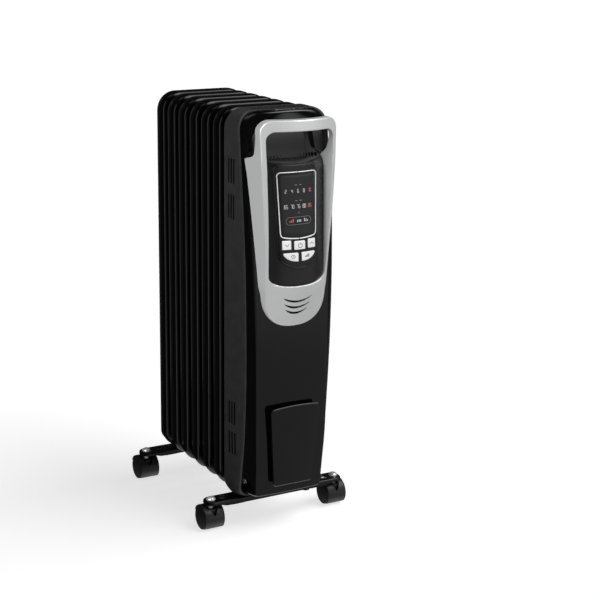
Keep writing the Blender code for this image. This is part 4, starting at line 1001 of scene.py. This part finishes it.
def build_display():
    """The display's bright ring with its two gaps, its smoked pane, and the marks on it."""
    profile = ((0.0003, -0.0013), (0.0003, 0.0002), (0.0006, 0.0005))
    profile += ((0.0013, 0.0005), (0.0016, 0.0002), (0.0016, -0.0013))
    rows = [on_panel(outline_of(display_curve(inset)), out) for inset, out in profile]
    ring = strip(rows, wrap=True, close=True)
    ring = piece("display_frame", ring, TRIM, nodes=["display_ring"], angle=50)
    gaps = []
    for low, high in ((0.4540, 0.4600), (0.5520, 0.5580)):
        row = np.array([(-0.0008, low), (0.0008, low), (0.0008, high), (-0.0008, high)])
        gaps += tube([raise_to(row, y) for y in (-0.170, -0.140)])
    cut(ring, gaps, "ring_gaps")
    rows = [on_panel(outline_of(display_curve(0.0018)), out) for out in (-0.0013, -0.0002)]
    flat = outline_of(display_curve(0.0021))
    for share in (1.0, 0.85, 0.7, 0.55, 0.4, 0.25, 0.1):
        rows.append(on_panel(DISPLAY_CENTRE + (flat - DISPLAY_CENTRE) * share, 0.0))
    piece("display_pane", tube(rows), SMOKED, nodes=["display_window"], angle=40)
    out = 0.00012
    white, red, grey = [], [], []
    for row_z, size, texts in (
        (0.5242, 0.0050, ("2", "4", "6", "8", "10")),
        (0.5020, 0.0051, ("65", "70", "75", "80", "85")),
    ):
        for i, text in enumerate(texts):
            target = red if i == 4 else white
            advance = size * 0.58
            x = -0.0196 + 0.0098 * i - advance * len(text) / 2
            for k, letter in enumerate(text):
                target += digit(letter, x + k * advance, row_z, size, out)
    grey += [ribbon([(-0.0055, z), (0.0055, z)], 0.0012, out) for z in (0.5356, 0.5130)]
    pill = loop(0.0205, 0.4784, 0.4892, 0.0053, 0.0053, 8, 2, 10)
    grey.append(ribbon(pill, 0.0006, out, True))
    for i, target in enumerate((red, white, white)):
        for k in range(3):
            x = -0.0120 + 0.0120 * i - 0.0026 + 0.0026 * k
            rise = 0.0022 + 0.0014 * (k if i == 0 else 2 - k if i == 2 else 1)
            target.append(ribbon([(x, 0.4818), (x, 0.4818 + rise)], 0.0012, out))
    turn = np.radians(np.linspace(0, 360, 20, endpoint=False))
    dot = np.column_stack([np.cos(turn), np.sin(turn)]) * 0.0011 + (0.0, 0.4952)
    grey.append(ribbon(dot, 0.0004, out, True))
    sets = (("white", white, LIT_WHITE), ("red", red, LIT_RED), ("grey", grey, LIT_GREY))
    for name, marks, finish in sets:
        piece("display_marks_" + name, marks, finish)


# --- Cord-wrap plate ---


def wrap_y(z):
    """The leaning face of the cord-wrap plate."""
    return -0.1497 - 0.0080 * (z - 0.074) / (0.201 - 0.074)


def build_wrap_plate():
    """The cord-wrap plate, with the post that holds it off the cover."""

    def curve(inset):
        right = [(0.0, 0.0740 + inset)]
        right += arc((0.0280, 0.0795), 0.0055 - inset, -90, -4, 6).tolist()
        right += arc((0.0378, 0.1950), 0.0050 - inset, -4, 84, 8).tolist()
        for x in np.linspace(0.0370, 0.0, 9):
            right.append((x, 0.2000 + 0.0022 * (1 - (x / 0.0400) ** 2) - inset))
        return outline_of(right)

    rows = []
    profile = ((0.0016, 0.0), (0.0006, 0.0003), (0.0, 0.0012))
    profile += ((0.0, 0.0022), (0.0005, 0.0030), (0.0014, 0.0032))
    for inset, depth in profile:
        flat = curve(inset)
        rows.append(raise_to(flat, wrap_y(flat[:, 1]) + depth))
    caps = []
    for row in (rows[0], rows[-1]):
        right = row[: len(row) // 2 + 1]
        left = np.vstack([row[:1], row[len(row) // 2 :][::-1]])
        caps.append(strip([right, (right + left) / 2 * (0, 1, 1), left]))
    post_rows = []
    for inset, share in ((0.0, 0.0), (0.0, 0.75), (-0.0012, 0.92), (-0.0026, 1.0)):
        flat = loop(0.0180 - inset, 0.0980 + inset, 0.1700 - inset, 0.005, 0.005, 5, 10, 6)
        front = wrap_y(flat[:, 1]) + 0.0030
        rear = face_y(flat[:, 0], flat[:, 1]) + 0.0006
        post_rows.append(raise_to(flat, front + (rear - front) * share))
    shapes = [strip(rows, wrap=True)] + caps + [strip(post_rows, wrap=True)]
    piece("wrap_plate", shapes, GLOSS, nodes=["cord_wrap_plate"], angle=50)


# --- Legs ---

BRACKET_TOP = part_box("leg_bracket_front")[1].z
BRACKET_Y = {"front": -0.0883, "rear": 0.1509}
STEM_X = 0.1080
EDGE_ROLL = 0.0028
CLAMP_HALF = 0.0185


def build_bracket(end):
    """A stamped channel: flat top, rolled edges, and sides that are shallower near the ends."""
    middle = BRACKET_Y[end]

    def stadium(inset):
        half, width, radius = 0.1190 - inset, 0.01475 - inset, max(0.0125 - inset, 0.001)
        flat = loop(width, -half, half, radius, radius, 10, 90, 8)
        return np.column_stack([flat[:, 1], flat[:, 0] + middle])

    base = stadium(0.0)
    deep = 1 - smooth(0.086, 0.101, np.abs(base[:, 0]))
    low = BRACKET_TOP - 0.0052 - 0.0033 * deep
    low -= 0.0004 * ridge(np.abs(base[:, 0]) - 0.069, 0.010, 0.001) * deep
    rows = [lay_at(base, low + (BRACKET_TOP - EDGE_ROLL - low) * share) for share in (0.0, 0.5)]
    for turn in np.radians(np.linspace(0, 90, 7)):
        flat = stadium(EDGE_ROLL * (1 - math.cos(turn)))
        rows.append(lay_at(flat, BRACKET_TOP - EDGE_ROLL * (1 - math.sin(turn))))
    rows += [lay_at(stadium(inset), BRACKET_TOP) for inset in (0.0045, 0.0080, 0.0115, 0.0140)]
    spine = rows[-1].copy()
    spine[:, 1] = middle
    skin = strip(rows + [spine], wrap=True)
    nodes = [f"leg_bracket_{end}"]
    bracket = piece(f"bracket_{end}", skin, STEEL_PAINT, nodes=nodes)
    thicken(bracket, 0.0018)
    fin = 1 if end == "rear" else 6
    clamp_y = FIN_FACE_1 - FIN_PITCH * (fin - 1) - 0.01015
    lips = cut_bracket_slots(bracket, middle) + clamp_tab(end, clamp_y)
    piece(f"bracket_{end}_tab", lips, STEEL_PAINT)
    build_clamp(end, clamp_y)
    for word in ("left", "right"):
        build_wing_nut(end, word, clamp_y)


def cut_bracket_slots(bracket, middle):
    """Cuts the two slots in the bracket and returns the raised lips round them."""
    holes, lips = [], []
    profile = ((0.0001, -0.0015), (0.0001, 0.0005), (0.0005, 0.0009), (0.0012, 0.0009))
    profile += ((0.0020, 0.0003), (0.0026, -0.0002))
    flat = loop(0.0036, -0.0062, 0.0062, 0.0034, 0.0034, 6, 2, 2)
    for way in (-1, 1):
        centre = np.array((way * 0.0885, middle))
        at = flat[:, ::-1] + centre
        holes += tube([lay_at(at, z) for z in (0.034, 0.056)])
        grow = unit_rows(at - centre)
        lips.append(strip([lay_at(at + grow * out, BRACKET_TOP + up) for out, up in profile], wrap=True))
    cut(bracket, holes, "bracket_slots")
    return lips


def clamp_tab(end, clamp_y):
    """The flat tab that reaches from the bracket in under the clamp."""
    inward = -1 if end == "rear" else 1
    near, far = BRACKET_Y[end] + inward * 0.0120, clamp_y + inward * 0.0085
    flat = loop(0.0330, min(near, far), max(near, far), 0.004, 0.004, 4, 4, 6)
    toward = unit_rows(flat.mean(0) - flat)
    profile = ((0.0003, -0.0018), (0.0, -0.0014), (0.0, -0.0005), (0.0004, -0.0001))
    return tube([lay_at(flat + toward * inset, BRACKET_TOP + z) for inset, z in profile])


def build_clamp(end, clamp_y):
    """The U bolt over the lowest oil neck, with a trace of thread on its legs."""
    leg = np.array([(CLAMP_HALF, z) for z in np.linspace(0.0290, 0.0950, 12)[:-1]])
    spine = np.vstack([leg, arc((0.0, 0.0950), CLAMP_HALF, 0, 180, 24), leg[::-1] * (-1, 1)])
    ways = unit_rows(np.gradient(spine, axis=0))
    turns = np.linspace(0, 2 * math.pi, 14, endpoint=False)
    rows = []
    for i, ((x, z), (way_x, way_z)) in enumerate(zip(spine, ways)):
        radius = 0.00238 if i % 2 and z < 0.060 else 0.0025
        out, y = radius * np.cos(turns), clamp_y + radius * np.sin(turns)
        rows.append(np.column_stack([x - way_z * out, y, z + way_x * out]))
    piece(f"clamp_{end}", tube(rows), ZINC, nodes=[f"u_bolt_{end}"])


def build_wing_nut(end, word, y):
    name = f"wing_nut_{end}_{word}"
    x = CLAMP_HALF if word == "right" else -CLAMP_HALF
    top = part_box(name)[1].z
    body = [(0.0028, 0.0), (0.0050, 0.0), (0.0056, -0.0006)]
    body += [(0.0052, -0.0062), (0.0044, -0.0070), (0.0028, -0.0070)]
    wing = [(0.0040, -0.0012), (0.0080, -0.0040), (0.0118, -0.0088), (0.0121, -0.0112)]
    wing = np.array(wing + [(0.0100, -0.0120), (0.0062, -0.0088), (0.0040, -0.0060)])
    shapes = [lathe(body, (x, y, top), "Z", 28)]
    for way in (-1, 1):
        rows = []
        for scale, off in ((0.80, -0.0011), (1.0, -0.0007), (1.0, 0.0007), (0.80, 0.0011)):
            flat = (wing.mean(0) + (wing - wing.mean(0)) * scale) * (way, 1) + (x, top)
            rows.append(raise_to(flat, y + off))
        shapes += tube(rows)
    piece(name + "_body", shapes, ZINC, nodes=[name], angle=45)


def build_caster(end, side):
    """The cap nut above the bracket, the stem, the hood, the axle and the two wheels of one caster."""
    name = f"caster_{end}_{side}"
    x = STEM_X if side == "right" else -STEM_X
    y = BRACKET_Y[end]
    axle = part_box(f"{name}_axle")
    axle_y, axle_z = (axle[0].y + axle[1].y) / 2, (axle[0].z + axle[1].z) / 2
    nut = BRACKET_TOP + 0.0003
    dome = [(0.0040, 0.0), (0.0072, 0.0), (0.0074, 0.0004), (0.0073, 0.0009), (0.0068, 0.0012)]
    dome += (arc((0.0, 0.0), 1.0, 8, 78, 5) * (0.0066, 0.0036) + (0.0, 0.0013)).tolist()
    dome += [(0.0002, 0.0050), (0.0002, 0.0034), (0.0040, 0.0030)]
    cap = f"cap_nut_{end}_{side}"
    dome = lathe(dome, (x, y, nut), "Z", 36)
    piece(cap + "_dome", dome, ZINC, nodes=[cap], angle=30)
    stem = [(0.0002, 0.0496), (0.0028, 0.0496), (0.0036, 0.0488), (0.0036, 0.0447), (0.0060, 0.0447)]
    stem += [(0.0062, 0.0443), (0.0062, 0.0433), (0.0058, 0.0429), (0.0038, 0.0429), (0.0036, 0.0420)]
    stem = lathe(stem + [(0.0036, 0.0276), (0.0030, 0.0271), (0.0002, 0.0271)], (x, y, 0.0), "Z", 32)
    piece(name + "_pin", stem, ZINC, nodes=[f"{name}_stem"], angle=30)
    build_hood(name, x, y, axle_y, axle_z)
    rod = [(0.0002, -0.0149), (0.0022, -0.0149), (0.0025, -0.0146)]
    rod = lathe(rod + [(r, -along) for r, along in rod[::-1]], (x, axle_y, axle_z), "X", 28)
    piece(name + "_rod", rod, ZINC, name, [f"{name}_axle"], 30)
    for word, way in (("left", -1), ("right", 1)):
        build_wheel(f"{name}_wheel_{word}", x, axle_y, axle_z, way)


def build_hood(name, x, stem_y, axle_y, axle_z):
    """A curved cover over the wheels, notched for the stem, and a web with a collar between them."""
    half, outer, sheet = 0.0163, 0.0204, 0.0014

    def ring_point(across, radius, turn):
        return x + across, axle_y + radius * math.cos(turn), axle_z + radius * math.sin(turn)

    edge = [(half, -sheet), (half, -0.0010), (half - 0.0003, -0.0003), (half - 0.0012, 0.0)]
    profile = [(-u, r) for u, r in edge] + edge[::-1] + [(half - 0.0001, -sheet - 0.0003)]
    profile.append((0.0001 - half, -sheet - 0.0003))
    turns = np.radians(np.linspace(24, 226, 45))
    cover = tube([[ring_point(u, outer + r, turn) for u, r in profile] for turn in turns])
    shell = piece(name + "_cover", cover, NYLON, name, [f"{name}_hood"], 40)
    notch = [(0.0, 0.0248), (0.0016, 0.0262), (0.0120, 0.0420), (-0.0120, 0.0420), (-0.0016, 0.0262)]
    notch = np.array(notch) + (x, 0.0)
    cut(shell, tube([raise_to(notch, y) for y in (stem_y - 0.030, stem_y + 0.0068)]), "hood_notch")
    top_limit = 0.0330
    rows = []
    for scale, off in ((0.985, -0.0056), (1.0, -0.0050), (1.0, 0.0050), (0.985, 0.0056)):
        row = []
        for turn in np.radians(np.linspace(34, 216, 30)):
            radius = (outer - 0.0012 - 0.0045 * smooth(125, 150, math.degrees(turn))) * scale
            point = ring_point(off, radius, turn)
            if point[1] < stem_y + 0.0056:
                point = (*point[:2], min(point[2], top_limit))
            row.append(point)
        row += [ring_point(off, 0.0075, turn) for turn in np.radians((250, 283, 317, 350))]
        rows.append(row)
    collar = [(0.0039, 0.0345), (0.0052, 0.0345), (0.0055, 0.0341), (0.0055, 0.0325), (0.0039, 0.0325)]
    web = tube(rows) + [lathe(collar, (x, stem_y, 0.0), "Z", 28)]
    piece(name + "_web", web, NYLON, name, angle=35)


def build_wheel(name, x, axle_y, axle_z, way):
    """A wheel with a domed cap set into its rim and a tread with two shallow grooves."""
    inner, outer, radius = 0.0062, 0.0165, 0.0187718
    tread = [(0.0028, inner), (0.0120, inner), (0.0125, inner + 0.0008), (radius - 0.0022, inner + 0.0008)]
    tread += [(radius - 0.0018, inner), (radius - 0.0004, inner + 0.0001), (radius, inner + 0.0006)]
    for groove in (0.0095, 0.0125):
        for depth, off in ((0.0, -0.0006), (0.0005, -0.0003), (0.0005, 0.0003), (0.0, 0.0006)):
            tread.append((radius - depth, groove + off))
    shoulder = ((0.0, 0.0020), (0.0004, 0.0009), (0.0014, 0.0003), (0.0020, 0.0004))
    tread += [(radius - depth, outer - off) for depth, off in shoulder]
    dome_edge = radius - 0.0024
    for share in np.linspace(1.0, 0.0, 12):
        rise = 0.0029 * (1 - share**2.2)
        tread.append((max(dome_edge * share, 0.0002), outer - 0.0006 + rise))
    tread += [(0.0002, outer - 0.0012), (0.0028, outer - 0.0012)]
    shape = lathe([(r, way * h) for r, h in tread], (x, axle_y, axle_z), "X", 64)
    piece(name + "_disc", shape, TREAD, name, [name], 35)


# --- Inside ---


def finish_inner_parts():
    for name, finish in (
        ("heating_element", BRASS),
        ("oil_filler_plug", BRASS),
        ("heat_shield", SHEET),
        ("power_board", BOARD),
        ("control_board", BOARD),
        ("limit_thermostat", WHITE),
        ("tip_switch_case", WHITE),
        ("tip_switch_pendulum", BRASS),
        ("cord_gland", NYLON),
    ):
        dress(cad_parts[name], finish)


# --- Studio ---


def lobe(tree, azimuth, elevation, centre, half, low, high, soft, strength):
    """A soft-edged patch of light in the world, in degrees round the object and above the floor."""

    def edge(value, middle):
        made = node(tree, "ShaderNodeMapRange", interpolation_type="SMOOTHSTEP")
        set_inputs(made, From_Min=math.radians(middle - soft), From_Max=math.radians(middle + soft))
        tree.links.new(value, made.inputs["Value"])
        return made.outputs["Result"]

    turn = maths(tree, "WRAP", maths(tree, "SUBTRACT", azimuth, math.radians(centre)), math.pi, -math.pi)
    across = maths(tree, "SUBTRACT", 1.0, edge(maths(tree, "ABSOLUTE", turn), half))
    below = maths(tree, "SUBTRACT", 1.0, edge(elevation, high))
    patch = maths(tree, "MULTIPLY", maths(tree, "MULTIPLY", across, edge(elevation, low)), below)
    return maths(tree, "MULTIPLY", patch, strength)


WHITE_LIGHT = (1.0, 1.0, 1.0, 1.0)
# A little light from all round.
BASE_LIGHT = 0.03
# Softboxes round the object: (azimuth from +X, half width, lowest, highest, soft edge, strength).
LOBES = (
    (-35.0, 38.0, 36.0, 64.0, 9.0, 3.4),
    (-62.0, 28.0, -12.0, 0.0, 6.0, 0.30),
    (-62.0, 28.0, 2.0, 14.0, 5.0, 0.95),
    (-60.0, 60.0, -60.0, -6.0, 12.0, 0.20),
    (-125.0, 34.0, 62.0, 82.0, 8.0, 0.6),
    (0.0, 179.0, -90.0, -46.0, 6.0, 0.9),
)


def linked_light(spot, aim, width, height, power, receivers):
    """A rectangular light that falls only on the given pieces."""
    light = bpy.data.lights.new("strip", "AREA")
    light.shape = "RECTANGLE"
    light.size, light.size_y = width, height
    light.energy = power
    made = bpy.data.objects.new("strip", light)
    SCENE.collection.objects.link(made)
    made.location = spot
    made.rotation_euler = (Vector(aim) - Vector(spot)).to_track_quat("-Z", "Y").to_euler()
    made.visible_camera = False
    group = bpy.data.collections.new("strip_receivers")
    for obj in receivers:
        group.objects.link(obj)
    made.light_linking.receiver_collection = group


def build_lights():
    """Five lights: two fall on the fins only, two on the bright pieces and one on the rear shell.

    The wing nuts under the fins are not among the bright pieces.
    """
    meshes = [obj for obj in SCENE.objects if obj.type == "MESH" and not obj.name.startswith("wing_nut")]
    fins = [obj for obj in meshes if obj.data.materials[:1] == [ENAMEL]]
    bright = [obj for obj in meshes if obj.data.materials[:1] in ([SILVER], [TRIM], [KEYS], [ZINC])]
    shell = [SCENE.objects["rear_shell"]]
    linked_light((-1.06, -0.83, 0.30), (-0.07, 0.05, 0.30), 0.36, 2.6, 2.4, fins)
    linked_light((-0.35, 1.40, 0.45), (-0.07, 0.05, 0.45), 0.5, 1.4, 0.22, fins)
    linked_light((-1.80, -0.85, 1.20), (0.0, -0.16, 0.50), 1.3, 1.3, 36.0, bright)
    linked_light((0.90, -1.20, 1.50), (0.03, -0.16, 0.55), 0.8, 0.8, 17.0, bright)
    linked_light((-0.75, -0.25, 0.95), (-0.075, -0.10, 0.55), 0.3, 0.3, 1.3, shell)


def build_floor():
    """A pale floor, hidden from the object's reflections, bounced light and shadows."""
    mesh = bpy.data.meshes.new("studio_floor")
    bm = bmesh.new()
    bmesh.ops.create_grid(bm, x_segments=2, y_segments=2, size=30.0)
    bm.to_mesh(mesh)
    bm.free()
    floor = bpy.data.objects.new("studio_floor", mesh)
    SCENE.collection.objects.link(floor)
    floor.location.z = -0.0002
    pale = material(
        "studio_pale", (0.86, 0.86, 0.86), 0.8, tint=0.01, tint_scale=3.0, bump=0.02, specular=0.0
    )
    shader = pale.node_tree.nodes["Principled BSDF"]
    set_inputs(shader, Emission_Color=WHITE_LIGHT, Emission_Strength=0.70)
    mesh.materials.append(pale)
    floor.visible_glossy = False
    floor.visible_diffuse = False
    floor.visible_shadow = False


def build_world():
    """White to the camera; to the object, a dim surround with softboxes in it."""
    world = bpy.data.worlds.new("studio")
    SCENE.world = world
    world.use_nodes = True
    tree = world.node_tree
    tree.nodes.clear()
    place = node(tree, "ShaderNodeTexCoord")
    axes = node(tree, "ShaderNodeSeparateXYZ")
    tree.links.new(place.outputs["Generated"], axes.inputs[0])
    azimuth = maths(tree, "ARCTAN2", axes.outputs["Y"], axes.outputs["X"])
    elevation = maths(tree, "ARCSINE", axes.outputs["Z"])
    total = BASE_LIGHT
    for softbox in LOBES:
        total = maths(tree, "ADD", total, lobe(tree, azimuth, elevation, *softbox))
    seen = node(tree, "ShaderNodeBackground", Color=WHITE_LIGHT)
    lit = node(tree, "ShaderNodeBackground", Color=WHITE_LIGHT)
    tree.links.new(total, lit.inputs["Strength"])
    path = node(tree, "ShaderNodeLightPath")
    mix = node(tree, "ShaderNodeMixShader")
    tree.links.new(path.outputs["Is Camera Ray"], mix.inputs["Fac"])
    tree.links.new(lit.outputs[0], mix.inputs[1])
    tree.links.new(seen.outputs[0], mix.inputs[2])
    output = node(tree, "ShaderNodeOutputWorld")
    tree.links.new(mix.outputs[0], output.inputs["Surface"])


# Yaw to the right, pitch down and roll, in degrees; the place in metres; and the lens in millimetres.
CAMERA_ANGLES = (29.984, 14.809, 0.705)
CAMERA_SPOT = (-1.0573, -1.99745, 0.9257)
CAMERA_LENS = 89.85


def build_camera():
    """The camera at the photograph's viewing angle."""
    yaw, pitch, roll = (math.radians(angle) for angle in CAMERA_ANGLES)
    ahead = Vector((math.sin(yaw) * math.cos(pitch), math.cos(yaw) * math.cos(pitch), -math.sin(pitch)))
    level = Vector((math.cos(yaw), -math.sin(yaw), 0.0))
    above = level.cross(ahead)
    right = level * math.cos(roll) + above * math.sin(roll)
    up = above * math.cos(roll) - level * math.sin(roll)
    data = bpy.data.cameras.new("camera")
    data.lens = CAMERA_LENS
    data.sensor_width = 36.0
    camera = bpy.data.objects.new("camera", data)
    SCENE.collection.objects.link(camera)
    turn = Matrix((right, up, -ahead)).transposed()
    camera.matrix_world = Matrix.Translation(CAMERA_SPOT) @ turn.to_4x4()
    SCENE.camera = camera
    SCENE.view_settings.view_transform = "Standard"


build_fins()
build_shell()
build_cover()
build_bezel()
build_pod()
build_display()
build_buttons()
build_wrap_plate()
for bracket_end in ("front", "rear"):
    build_bracket(bracket_end)
    for caster_side in ("left", "right"):
        build_caster(bracket_end, caster_side)
finish_inner_parts()
build_floor()
build_world()
build_lights()
build_camera()
